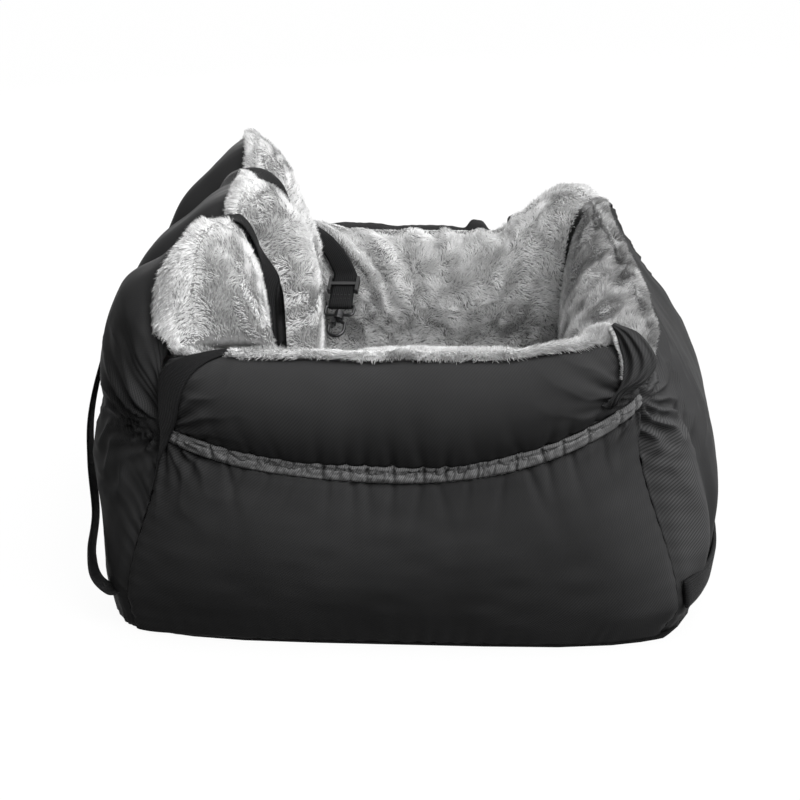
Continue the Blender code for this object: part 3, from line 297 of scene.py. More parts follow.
class SideWall(StuffedWall):
    """A low side wall: a lower panel, a gathered waist, and a roll above it."""

    def top(self, u):
        """The ridge: it rises to the front, and the far one dips at the back and the front."""
        near = self.facing < 0
        rise = (12 * mm if near else 50 * mm) * ease(0.35, 1 if near else 0.86, u)
        fall = 0 if near else 9 * mm * ease(-0.66, -0.4, u) + 10 * mm * ease(0.88, 1, u)
        return SIDE_TOP + rise - fall

    def ridge_line(self, u):
        return SIDE_RIDGE + 0 * u

    def waist(self, u):
        """The waist's height, on a parabola that rises more to the front."""
        return WAIST_LOW + np.where(u < 0, REAR_RISE, FRONT_RISE) * u * u

    def height(self, u, k):
        """Even steps up to the waist, then a quarter round to the ridge."""
        t = 1 - np.abs(k)
        low = FLOOR + (self.waist(u) - FLOOR) * t / WAIST
        r = np.clip((t - WAIST) / (1 - WAIST), 0, 1)
        high = self.waist(u) + (self.top(u) - self.waist(u)) * (1 - (1 - r) ** 2)
        return np.where(k < 0, super().height(u, k), np.where(t < WAIST, low, high))

    def outer(self, z, u, k):
        """Lower panel, waist and roll: a sine belly, then a quarter round with a tight neck."""
        t = 1 - np.abs(k)
        low = np.clip(t / WAIST, 0, 1)
        lower = 236 * mm - 10 * mm * low + 19 * mm * np.sin(math.pi * low) ** 0.75
        r = np.clip((t - WAIST) / (1 - WAIST), 0, 1)
        swell = SIDE_RIDGE + 53 * mm * np.cos(r * math.pi / 2) ** 0.9
        return np.where(t < WAIST, lower, swell - 19 * mm * (1 - r) ** 7)


sides = {name: SideWall("y", facing, WELL_Y, belly=8 * mm, inner_round=190 * mm)
         for name, facing in (("near", -1), ("far", 1))}


def crowded(count, power=1.0):
    """Shares from -1 to 1 that crowd towards both ends, as the sine of even steps."""
    even = np.linspace(-1, 1, count)
    return np.sin(even * math.pi / 2) * power + even * (1 - power)


def panel(wall, us, ks):
    """Surface points, normals, and the distances along and down the cloth, on a grid."""
    u, k = np.broadcast_arrays(us[:, None], ks if ks.ndim > 1 else ks[None])
    points, normals = wall.surface(u, k), wall.normals(u, k)
    along = np.linalg.norm(np.diff(points, axis=0), axis=-1).mean(1)
    down = np.linalg.norm(np.diff(points, axis=1), axis=-1).mean(0)
    s = np.concatenate([[0], np.cumsum(along)])[:, None] + 0 * k
    t = np.concatenate([[0], np.cumsum(down)])[None] + 0 * k
    return u, k, points, normals, s - s.mean(), t


def cloth(name, outer, inner, s, t, finish, painted_light=None):
    """A sheet with thickness between two grids. Its UV map is the cloth laid flat, in metres.
    Its last argument, from 0 to 1, is painted light: a painted sheen on nylon and painted shade in a
    plush backing's seam crease."""
    rows, columns = outer.shape[:2]
    points = np.concatenate([outer.reshape(-1, 3), inner.reshape(-1, 3)])
    below = rows * columns
    index = np.arange(below).reshape(rows, columns)
    a, b, c, d = index[:-1, :-1], index[1:, :-1], index[1:, 1:], index[:-1, 1:]
    top = np.stack([a, b, c, d], -1).reshape(-1, 4)
    rim = np.concatenate([index[0, :-1], index[:-1, -1], index[-1, :0:-1], index[:0:-1, 0]])
    after = np.roll(rim, -1)
    side = np.stack([rim, after, after + below, rim + below], -1)
    first = points[top[len(top) // 2]]
    thick = first[0] - points[top[len(top) // 2][0] + below]
    if np.dot(np.cross(first[1] - first[0], first[3] - first[0]), thick) > 0:
        faces = np.concatenate([top, top[:, ::-1] + below, side])
    else:
        faces = np.concatenate([top[:, ::-1], top + below, side[:, ::-1]])
    mesh = bpy.data.meshes.new(name)
    mesh.from_pydata(points.tolist(), [], faces.tolist())
    flat = np.tile(np.stack([s, t], -1).reshape(-1, 2), (2, 1))
    corner = np.zeros(len(mesh.loops), int)
    mesh.loops.foreach_get("vertex_index", corner)
    mesh.uv_layers.new(name="cloth").data.foreach_set("uv", flat[corner].ravel())
    if painted_light is not None:
        painted_light = np.tile(np.clip(painted_light, 0, 1).ravel(), 2).astype(np.float32)
        mesh.attributes.new("painted_light", "FLOAT", "POINT").data.foreach_set("value", painted_light)
    mesh.shade_smooth()
    mesh.materials.append(finish)
    return placed(name, mesh)


def dressed(piece, slot, *nodes):
    """A piece that rides on the seat, and the nodes it replaces. The slot of its finish is not used."""
    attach(piece, "seat")
    if nodes:
        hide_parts(*nodes)
    return piece


def laid_flat(tree):
    """The UV map of the cloth laid flat, in metres."""
    node = add(tree, "UVMap", {})
    node.uv_map = "cloth"
    return node.outputs[0]


def carried(tree, name):
    """A value that the mesh carries at each point."""
    node = add(tree, "Attribute", {})
    node.attribute_name = name
    return node.outputs["Fac"]


def blended(tree, share, low, high):
    """A colour from low to high, by a share from 0 to 1."""
    node = add(tree, "Mix", {})
    node.data_type = "RGBA"
    feed(node, {"Factor": share, "A": low, "B": high})
    return node.outputs["Result"]


def raised(tree, paint, height, distance, strength=1):
    """A bump whose height stands up from the surface by the distance."""
    bump = add(tree, "Bump", {"Strength": strength, "Distance": distance, "Height": height})
    feed(paint, {"Normal": bump.outputs["Normal"]})


def speckle(tree, scale, detail=2):
    """Noise on the piece's own coordinates."""
    place = add(tree, "TexCoord", {}).outputs["Object"]
    return add(tree, "TexNoise", {"Vector": place, "Scale": scale, "Detail": detail}).outputs[0]


def twill_group():
    """Diagonal ribs, the sine of x + y, crossed by a fainter yarn, the sine of x - 0.6 y, on a
    UV map in metres, and broad patches of noise."""
    group = bpy.data.node_groups.new("twill_weave", "ShaderNodeTree")
    for name, way in (("Pitch", "INPUT"), ("Height", "OUTPUT"), ("Patches", "OUTPUT")):
        group.interface.new_socket(name, in_out=way, socket_type="NodeSocketFloat")
    given, made = group.nodes.new("NodeGroupInput"), group.nodes.new("NodeGroupOutput")
    flat = laid_flat(group)
    x, y, _ = add(group, "SeparateXYZ", {0: flat}).outputs
    turn = combined(group, "DIVIDE", 2 * math.pi, given.outputs["Pitch"])
    diagonal = combined(group, "MULTIPLY", combined(group, "ADD", x, y), turn)
    cross = combined(group, "SUBTRACT", x, combined(group, "MULTIPLY", y, 0.6))
    cross = combined(group, "MULTIPLY", cross, combined(group, "MULTIPLY", turn, 1.7))
    yarn = combined(group, "MULTIPLY", combined(group, "SINE", cross), 0.35)
    patches = add(group, "TexNoise", {"Vector": flat, "Scale": 14, "Detail": 4})
    feed(made, {"Height": combined(group, "ADD", combined(group, "SINE", diagonal), yarn),
                "Patches": patches.outputs[0]})
    return group


twill = twill_group()


def nylon_twill(name, colour, roughness):
    """Black nylon: a fine twill bump. Where the mesh carries a painted sheen w, the colour is painted
    paler and the ribs show more, by a share of 0.12 + 0.38 w + (0.01 + 0.27 w) times the ribs' height."""
    made, tree, paint = shader(name, colour, roughness, specular=0.01)
    weave = tree.nodes.new("ShaderNodeGroup")
    weave.node_tree = twill
    feed(weave, {"Pitch": 3.1 * mm})
    raised(tree, paint, weave.outputs["Height"], distance=0.08 * mm, strength=0.3)
    gloss = add(tree, "MapRange", {"Value": weave.outputs["Patches"],
                                   "From Min": 0.3, "From Max": 0.7,
                                   "To Min": roughness - 0.05, "To Max": roughness + 0.06})
    # Painted sheen: the value each point carries lightens the colour and brings out the ribs.
    sheen_and_wear = carried(tree, "painted_light")
    swing = combined(tree, "MULTIPLY_ADD", sheen_and_wear, 0.27, 0.01)
    middle = combined(tree, "MULTIPLY_ADD", sheen_and_wear, 0.38, 0.12)
    share = combined(tree, "MULTIPLY_ADD", weave.outputs["Height"], swing, middle)
    pale = [channel * 4.2 for channel in colour]
    feed(paint, {"Base Color": blended(tree, share, (*colour, 1), (*pale, 1)),
                 "Roughness": gloss.outputs["Result"]})
    return made


nylon = nylon_twill("black_nylon_twill", (0.024, 0.024, 0.0244), roughness=0.5)
# A painted-lit copy of the nylon for the gathered waist: its colour is painted paler than the rest.
painted_lit_shirred = nylon_twill("painted_lit_shirred_nylon_twill", (0.08, 0.08, 0.0805), roughness=0.5)
NYLON_THICK = 1.6 * mm


def puckers(s, edge, seed, pitch=9 * mm, deep=0.9 * mm, reach=13 * mm):
    """Small creases square to a seam. They die out with the distance from its edge."""
    phase = 2 * math.pi * s / pitch + 2.4 * lumps(s, 0 * s, 24 * mm, seed)
    strength = 0.55 + 0.45 * lumps(s, 0 * s, 31 * mm, seed + 1)
    return deep * strength * np.sin(phase) * np.exp(-edge / reach)


def creases(s, edge, seed, deep=1.8 * mm, width=2.2 * mm, reach=16 * mm, spacing=24 * mm):
    """Drawn-in creases at uneven places along a seam. Each is a valley that slants a little,
    widens and dies out away from the seam's edge."""
    rng = np.random.default_rng(seed)
    each_way = 13
    count = 2 * each_way + 1
    places = (np.arange(-each_way, each_way + 1) + rng.uniform(-0.32, 0.32, count)) * spacing
    slants, shares = rng.normal(0, 0.22, count), rng.uniform(0.35, 1, count)
    wide = width * (1 + edge / reach)
    total = 0 * s
    for place, slant, share in zip(places, slants, shares):
        total = total - share * np.exp(-((s - place - slant * edge) / wide) ** 2)
    return deep * total * np.exp(-edge / reach)


def seam_valley(edge, deep=2.6 * mm, width=4.5 * mm):
    """Cloth turned in at a seam: a valley as deep * e^(-(d/width)^2)."""
    return -deep * np.exp(-(edge / width) ** 2)


def pleats(far, angle, count, seed, deep, reach):
    """Folds that fan out from a pinch, sharper in their valleys, and die out with distance."""
    folds = np.sin(angle * count + 1.9 * lumps(far, angle * 30 * mm, 26 * mm, seed))
    folds = 1 - 1.6 * np.abs(folds) ** 0.8 + 0.4 * np.sin(angle * count * 2.3 + seed)
    return deep * folds * ease(2 * mm, 18 * mm, far) * np.exp(-(far / reach) ** 1.6)


def pinched(u, z, levels, half, count, seed, deep, reach, bright, glow):
    """Relief of the pleats at a wall's two ends, where the elastic waist runs into the corner seams at
    these levels, and a painted sheen around each pinch. half is half of the wall's length. The painted
    sheen is bright * e^-(d/glow)^2."""
    relief = painted_light = 0 * u
    for end, level in zip((-1, 1), levels):
        along, up = (1 - u * end) * half, z - level
        far, angle = np.hypot(along, up) + 1e-6, np.arctan2(up, along)
        relief = relief + pleats(far, angle, count, seed + end, deep, reach)
        painted_light = painted_light + bright * np.exp(-(far / glow) ** 2)
    return relief, painted_light


def drawn_in(wall, u, z, seed):
    """The pleats at the ends of a side wall's waist, on its lower panel and on its roll, with the
    painted sheen around them.
    """
    levels = [wall.waist(np.array(end)) for end in (-1.0, 1.0)]
    return pinched(u, z, levels, half=208 * mm, count=9, seed=seed, deep=4.4 * mm,
                   reach=46 * mm, bright=0.55, glow=48 * mm)


def under_tether(u, k):
    """1 where a tether lies on a side wall and 0 beside it, and the tether's own line of u."""
    outer = -0.8 - 0.19 * (1 - np.exp(-np.maximum(k, 0) / 0.22)) - 0.09 * ease(0.4, 0.66, k)
    line = np.where(k < 0, -0.8 + 0.06 * np.minimum(-k / 0.41, 1), outer)
    covered = ease(-0.47, -0.4, k) * (1 - ease(0.63, 0.68, k))
    return np.exp(-((u - line) * 205 * mm / (15 * mm)) ** 4) * covered, line


def sewn(name, wall, grid, relief, painted_light, node, filling, held="stretched", finish=nylon, cut=1):
    """One nylon panel: the wall's surface raised by its relief, with the cloth's thickness.
    cut is how many times as long as the wall its weave is laid."""
    u, k, points, out, s, t = grid
    outer = wall.held(points + out * relief[..., None], u)
    inner = wall.held(points + out * (relief - NYLON_THICK)[..., None], u)
    piece = cloth(name, outer, inner, s * cut, t, finish, painted_light)
    dressed(piece, "black_nylon", node)


def side_panel(name, part, node, grid, relief, painted_light, **cloth_facts):
    """A nylon panel of a side wall, on which nothing stands up under the tether."""
    relief = relief - under_tether(grid[0], grid[1])[0] * np.maximum(relief, 0)
    sewn(name + part, sides[name], grid, relief, painted_light, name + node, name + "_side_stuffing",
         **cloth_facts)


LOWER_HALF, UPPER_HALF = 240 * mm, 215 * mm
for name, wall in sides.items():
    grid = panel(wall, crowded(230, 0.6), 1 - np.linspace(BAND_FOOT - BAND_GAP, 0, 72))
    u, k, points, out, s, t = grid
    seed = 3 if name == "near" else 23
    corner, foot = (1 - np.abs(u)) * LOWER_HALF, t.max() - t
    belly = np.sin(math.pi * np.clip(1 - t / t.max(), 0, 1)) ** 1.4 * (1 - np.abs(u) ** 4)
    pleated, painted_light = drawn_in(wall, u, points[..., 2], seed + 6)
    relief = creases(s, t, seed + 40, deep=3.4 * mm, width=2.6 * mm, reach=26 * mm)
    relief += seam_valley(t, deep=1.6 * mm, width=5 * mm) + seam_valley(corner)
    relief += pleated + 6 * mm * belly
    relief += puckers(s, t, seed, pitch=10 * mm, deep=0.35 * mm, reach=9 * mm)
    relief += puckers(t, corner, seed + 4, pitch=13 * mm, deep=1.0 * mm, reach=12 * mm)
    relief += puckers(s, foot, seed + 9, pitch=17 * mm, deep=0.8 * mm, reach=18 * mm)
    soft = ease(0, 30 * mm, foot) * ease(0, 25 * mm, corner)
    relief += soft * 1.5 * mm * lumps(s, t, 70 * mm, seed + 2)
    relief += soft * 0.7 * mm * lumps(s, t * 1.8, 27 * mm, seed + 3)
    # Painted sheen: a faint amount that varies at random over the whole panel, and a painted highlight
    # low down on its front half.
    lit = ease(0, 180 * mm, s) * (1 - ease(20 * mm, 110 * mm, foot))
    painted_light += 0.12 + 0.12 * lumps(s, t, 60 * mm, seed + 12)
    painted_light += 0.5 * lit * (0.6 + 0.4 * lumps(s, t, 30 * mm, seed + 13))
    side_panel(name, "_lower_nylon", "_side_lower_panel", grid, relief, painted_light)

fibre_fill, tree, paint = shader("fibre_fill", (0.78, 0.78, 0.76), roughness=0.95)
raised(tree, paint, speckle(tree, scale=90, detail=6), distance=1.5 * mm)


def stuffing(name, wall, node, short):
    """The fibre inside a wall: a closed tube that keeps 10 mm or more under the cloth. short
    is how many of its 61 sections are left out at each end."""
    us = np.linspace(-1, 1, 61)[short:-short]
    ks = np.concatenate([-1 + np.linspace(0, 0.99, 30), 1 - np.linspace(0.99, 0, 44)])
    u, k = np.meshgrid(us, ks, indexing="ij")
    depth = np.where(k < 0, 12 * mm, 10 * mm)[..., None]
    points = wall.held(wall.surface(u, k) - wall.normals(u, k) * depth, u)
    index = np.arange(k.size).reshape(k.shape)
    after = np.roll(index, -1, axis=1)
    skin = np.stack([index[:-1], after[:-1], after[1:], index[1:]], -1).reshape(-1, 4)
    faces = skin.tolist() + [index[0, ::-1].tolist(), index[-1].tolist()]
    mesh = bpy.data.meshes.new(name)
    mesh.from_pydata(points.reshape(-1, 3).tolist(), [], faces)
    form = bmesh.new()
    form.from_mesh(mesh)
    bmesh.ops.recalc_face_normals(form, faces=form.faces)
    form.to_mesh(mesh)
    form.free()
    mesh.shade_smooth()
    mesh.materials.append(fibre_fill)
    dressed(placed(name, mesh), "polyester_filling", node)


for name, wall in sides.items():
    stuffing(name + "_side_stuffing", wall, name + "_side_filling", short=2)

# Side walls: waist elastic
# Flat braided elastic behind the gathered strip, stretched from corner seam to corner seam.
# It draws the cloth in at the waist.

braid, tree, paint = shader("braided_elastic", (0.03, 0.03, 0.03), roughness=0.7)
ribs = add(tree, "TexWave", {"Vector": laid_flat(tree), "Scale": 220})
ribs.bands_direction = "Y"
raised(tree, paint, ribs.outputs["Fac"], distance=0.3 * mm)

ELASTIC_FACE, ELASTIC_BACK = 1.2 * mm, 2.6 * mm
for name, wall in sides.items():
    ks = 1 - np.linspace(BAND_TOP, BAND_FOOT, 7)
    u, k, points, out, s, t = panel(wall, np.linspace(-1, 1, 101), ks)
    face, back = (wall.held(points - out * (NYLON_THICK + GAP + depth), u)
                  for depth in (ELASTIC_FACE, ELASTIC_BACK))
    piece = cloth(name + "_waist_braid", face, back, s, t, braid)
    dressed(piece, "elastic", name + "_side_waist_elastic")

# Side walls: gathered waist
# A strip of the same nylon, shirred on flat elastic, runs round the waist between the corner
# seams. A fine piping stands along its upper edge, and the strip ruffles up between the stitches.

for name, wall in sides.items():
    grid = panel(wall, np.linspace(-1, 1, 760), 1 - np.linspace(BAND_TOP, BAND_FOOT, 17))
    u, k, points, out, s, t = grid
    seed = 41 if name == "near" else 61
    across = t / t.max()
    ruffle = 3.6 * mm + 1.4 * mm * lumps(s, 2 * t, 8 * mm, seed)
    ruffle += 1.1 * mm * lumps(s + 0.6 * t, 2 * t, 3.6 * mm, seed + 1)
    relief = ruffle * np.sin(math.pi * np.clip(across, 0, 1)) ** 0.7
    relief += creases(s, 0.35 * t, seed + 2, deep=3.2 * mm, width=1.8 * mm, reach=40 * mm)
    relief += creases(s + 0.4 * t, 0 * t, seed + 5, deep=2.0 * mm, width=1.1 * mm,
                      reach=40 * mm, spacing=9 * mm)
    relief += 1.0 * mm * np.exp(-((across - 0.07) / 0.05) ** 2)
    relief += seam_valley((1 - np.abs(u)) * UPPER_HALF, deep=3 * mm, width=6 * mm)
    # Painted sheen, strong over the whole band, on top of its paler painted-lit nylon.
    painted_light = 0.8 + 0.2 * lumps(s, t, 12 * mm, seed + 6)
    side_panel(name, "_gathered_waist", "_side_gather_band", grid, relief, painted_light,
               held="gathered", finish=painted_lit_shirred, cut=1.6)

# Side walls: upper roll
# A fat stuffed roll of nylon above the waist. Its top edge meets the plush on the ridge seam.
# The far one is drawn into four soft folds along that edge.

# Each fold of the far roll: its place along the seat, its half width and its height, in mm.
FAR_FOLDS = ((-75, 32, 10), (-3, 42, 7), (53, 11, 13), (95, 8, 10))
for name, wall in sides.items():
    ks = 1 - np.linspace(RIDGE_SEAM, BAND_TOP + BAND_GAP, 64)
    grid = panel(wall, crowded(230, 0.6), ks)
    u, k, points, out, s, t = grid
    seed = 81 if name == "near" else 101
    corner, bottom = (1 - np.abs(u)) * UPPER_HALF, t.max() - t
    pleated, painted_light = drawn_in(wall, u, points[..., 2], seed + 6)
    relief = creases(s, bottom, seed - 38, deep=2.8 * mm, width=2.6 * mm, reach=20 * mm)
    relief += puckers(s, bottom, seed, pitch=11 * mm, deep=0.4 * mm, reach=10 * mm)
    relief += puckers(s, t, seed + 1, pitch=12 * mm, deep=0.5 * mm, reach=9 * mm)
    relief += puckers(t, corner, seed + 2, pitch=12 * mm, deep=1.2 * mm, reach=16 * mm)
    relief += seam_valley(corner) + pleated
    if name == "far":
        folds = sum(high * np.exp(-((points[..., 0] / mm - place) / wide) ** 4)
                    for place, wide, high in FAR_FOLDS)
        relief += folds * mm * ease(0, 4 * mm, t) * np.exp(-(t / (16 * mm)) ** 2)
    soft = ease(0, 22 * mm, corner)
    relief += soft * 1.4 * mm * lumps(s, t, 64 * mm, seed + 3)
    relief += soft * 0.6 * mm * lumps(s, t * 1.6, 25 * mm, seed + 4)
    # A faint painted sheen that varies at random, on top of the painted sheen at the pinches.
    painted_light += 0.12 + 0.12 * lumps(s, t, 60 * mm, seed + 12)
    side_panel(name, "_upper_roll", "_side_roll_cover", grid, relief, painted_light)

# Backrest and front wall: nylon covers
# The tall walls. The backrest is held in three lobes by its two straps, and the front wall is
# drawn in below its ridge like a neck. Each cover is one panel from the ridge seam to the base.

# The middle lobe ends and the outer ones begin at these shares of the backrest's half length,
# and a strap lies in the channel between them.
LOBE_END, LOBE_START, STRAP_PLACE = 0.25, 0.42, 0.335
TALL_HALF, BACKREST_HALF = 220 * mm, 222 * mm


class Backrest(StuffedWall):
    """The backrest: three lobes, with a strap channel on each side of the middle one."""

    bulge = 302 * mm

    def lobe(self, u):
        """1 on the crown of each of the three lobes and 0 in the strap channels."""
        a = np.abs(u)
        middle = np.clip(a / LOBE_END, 0, 1)
        end = np.clip(np.abs(2 * (a - LOBE_START) / (1 - LOBE_START) - 1), 0, 1)
        return np.where(a < LOBE_END, 1 - middle ** 3, np.where(a > LOBE_START, 1 - end ** 3, 0))

    def puff(self, u):
        """The middle lobe swells into the well, and the outer ones lean back."""
        crown = self.lobe(u)
        swell = np.where(np.abs(u) < LOBE_END, 1, np.where(u < 0, -0.85, -0.3))
        sunk = np.where(u < 0, 1.2, 0.6)
        return crown * swell - sunk * (1 - crown) * amid(u)

    def top(self, u):
        """The ridge: a valley at each strap, and a crown on each lobe above it."""
        valley = np.interp(np.abs(u), (0, LOBE_END, LOBE_START, 1), (344 * mm,) * 3 + (SIDE_TOP,))
        crown = 370 * mm - 10 * mm * (1 - ease(0.25, 0.4, u)) - 6 * mm * ease(0.25, 0.45, -u)
        return valley + (crown - valley) * self.lobe(u)

    def ridge_line(self, u):
        return 171 * mm * np.interp(u, (-1, -0.7, 0, 0.7, 1), (0.97, 0.97, 0.91, 1, 1))

    def outer(self, z, u, k):
        """From the ridge line to the bulge by a smooth curve, sunk in the strap channels."""
        reach = curve(1 - np.abs(k), (0, 0.02, 0.1, 0.21, 0.37, 0.45, 0.61, 0.73, 0.87, 1),
                      (0.9, 0.91, 0.95, 1, 0.81, 0.76, 0.59, 0.38, 0.18, 0))
        ridge = self.ridge_line(u)
        channel = (1 - self.lobe(u)) * amid(u)
        high = ease(CUSHION_TOP, 246 * mm, z) * ease(0, 0.478, np.abs(k))
        return ridge + (self.bulge - ridge) * reach - 12 * mm * channel * high


class FrontWall(StuffedWall):
    """The front wall: its ridge and its depth go through values at seven places along it."""

    bulge = 294 * mm
    places = (-1, -0.86, -0.6, -0.2, 0.3, 0.7, 1)

    def top(self, u):
        return 315 * mm * curve(u, self.places, (0.87, 0.78, 0.79, 0.825, 0.87, 0.918, 0.927))

    def ridge_line(self, u):
        return 226 * mm * curve(u, self.places, (1, 1, 0.985, 0.95, 0.88, 0.81, 0.785))

    def outer(self, z, u, k):
        """From the ridge line to the bulge by a smooth curve with a neck below the ridge."""
        reach = curve(1 - np.abs(k), (0, 0.02, 0.1, 0.22, 0.35, 0.48, 0.58, 0.68, 0.84, 1),
                      (0.72, 0.76, 0.88, 1, 0.9, 0.68, 0.47, 0.31, 0.14, 0))
        ridge = self.ridge_line(u)
        return ridge + (self.bulge - ridge) * reach


backrest = Backrest("x", -1, WELL_BACK, belly=20 * mm, inner_round=246 * mm)
front = FrontWall("x", 1, WELL_FRONT, belly=8 * mm, inner_round=200 * mm)


def strap_press(u):
    """1 under the backrest's two straps and 0 beside them, as e^-(d/14 mm)^4."""
    return np.exp(-((np.abs(u) - STRAP_PLACE) * BACKREST_HALF / (14 * mm)) ** 4)


def front_folds(u, z, s, t, corner, seed):
    """The front wall's own relief and painted sheen: a welt beside each corner seam with a groove next
    to it and a painted highlight along the welt, and wrinkles that drag down to the near corner under a
    fainter painted sheen."""
    low = ease(30 * mm, 90 * mm, z) * (1 - ease(175 * mm, 215 * mm, z))
    wander = corner - 4 * mm * lumps(z, 0 * z, 50 * mm, seed + 20)
    welt = np.exp(-((wander - 27 * mm) / (15 * mm)) ** 2)
    groove = np.exp(-((wander - 56 * mm) / (11 * mm)) ** 2)
    drag = math.pi * (s * 0.75 + t) / (30 * mm) + 1.6 * lumps(s, t, 45 * mm, seed + 21)
    high = ease(0.1, 0.5, -u) * ease(130 * mm, 190 * mm, z) * (1 - ease(275 * mm, 300 * mm, z))
    wrinkles = (1 - 2 * np.abs(np.sin(drag))) * high * ease(10 * mm, 40 * mm, corner)
    # Painted highlight along the welt, and a fainter painted sheen over the wrinkles.
    painted_light = 0.95 * low * np.exp(-((wander - 22 * mm) / (20 * mm)) ** 4) + 0.25 * high
    return 8 * mm * low * (welt - 0.6 * groove) + 1.6 * mm * wrinkles, painted_light


def backrest_swell(u, k, z):
    """Fullness that the backrest's section lacks: high up behind the near lobe, and lower down
    behind the middle and far ones."""
    near = ease(0.35, 0.6, -u) * (1 - ease(0.93, 1, -u)) * ease(175 * mm, 230 * mm, z)
    others = backrest.lobe(u) * ease(-0.25, -0.2, u) * (1 - ease(0.65, 0.85, k))
    return 12 * mm * near * ease(0.24, 0.4, k) + 12 * mm * others * ease(0.3, 0.55, k)


for name, wall, seed, waist_end in (("backrest", backrest, 141, -1.0),
                                    ("front_wall", front, 161, 1.0)):
    grid = panel(wall, crowded(220, 0.4), 1 - np.linspace(RIDGE_SEAM, 0, 110))
    u, k, points, out, s, t = grid
    corner, foot, z = (1 - np.abs(u)) * TALL_HALF, t.max() - t, points[..., 2]
    levels = [side.waist(np.array(waist_end)) for side in sides.values()]
    pleated, painted_light = pinched(u, z, levels, half=UPPER_HALF, count=8, seed=seed + 5,
                             deep=5.4 * mm, reach=60 * mm, bright=0.5, glow=55 * mm)
    relief = puckers(s, t, seed, pitch=12 * mm, deep=0.7 * mm, reach=12 * mm) + pleated
    relief += puckers(t, corner, seed + 1, pitch=16 * mm, deep=1.6 * mm, reach=22 * mm)
    relief += puckers(s, foot, seed + 9, pitch=17 * mm, deep=0.8 * mm, reach=18 * mm)
    relief += seam_valley(corner, deep=3.4 * mm, width=6 * mm)
    soft = ease(0, 30 * mm, foot) * ease(0, 25 * mm, corner)
    relief += soft * 2.2 * mm * lumps(s, t * 0.6, 58 * mm, seed + 2)
    relief += soft * 0.8 * mm * lumps(s * 1.5, t, 30 * mm, seed + 3)
    # A faint painted sheen that varies at random, on top of the painted sheen at the pinches.
    painted_light += 0.08 + 0.08 * lumps(s, t, 60 * mm, seed + 12)
    if wall is front:
        folds, bright = front_folds(u, z, s, t, corner, seed)
        relief, painted_light = relief + folds, painted_light + bright
    else:
        press = strap_press(u) * ease(230 * mm, 290 * mm, z)
        relief = (relief + backrest_swell(u, k, z)) * (1 - press) - 1.2 * mm * press
    sewn(name + "_outer_nylon", wall, grid, relief, painted_light, name + "_nylon_cover",
         name + "_stuffing")

stuffing("backrest_stuffing", backrest, "backrest_filling", short=3)
stuffing("front_wall_stuffing", front, "front_wall_filling", short=2)

# Plush linings
# Grey short-pile plush over the inner faces, up to the ridge seams. The backing is a knitted
# cloth, and the pile is made of thousands of fine tufts that lie over in soft swirls.

PLUSH_TONE = 0.64
WEBBING, WEBBING_THICK, STRAP_TILT = 25 * mm, 1.8 * mm, 4 * mm


def plush_backing():
    """Matt grey knit under the pile, mottled, with painted shade in the crease of a corner seam."""
    made, tree, paint = shader("plush_backing", (0.16, 0.16, 0.16), roughness=0.95,
                               specular=0.1)
    mottle = speckle(tree, scale=260, detail=4)
    tone = blended(tree, mottle, (0.10, 0.10, 0.10, 1), (0.34, 0.34, 0.34, 1))
    # Painted shade: the colour goes to near black by the value each point carries in the seam's crease.
    creased = blended(tree, carried(tree, "painted_light"), tone, (0.012, 0.012, 0.012, 1))
    feed(paint, {"Base Color": creased})
    raised(tree, paint, mottle, distance=0.6 * mm)
    return made


def plush_pile():
    """Fibre: each tuft has its own tone, with painted shade at its root and painted light at its tip.
    """
    made, tree, paint = shader("plush_pile", (0.5, 0.5, 0.5), roughness=0.8, specular=0.25)
    ramp = add(tree, "ValToRGB", {"Fac": carried(tree, "tone")})
    ramp.color_ramp.elements[0].color = (0.10, 0.10, 0.10, 1)
    ramp.color_ramp.elements[1].color = (1.0, 1.0, 1.0, 1)
    feed(paint, {"Sheen Weight": 0.25, "Sheen Roughness": 0.35,
                 "Base Color": ramp.outputs["Color"]})
    return made


backing, pile_finish = plush_backing(), plush_pile()


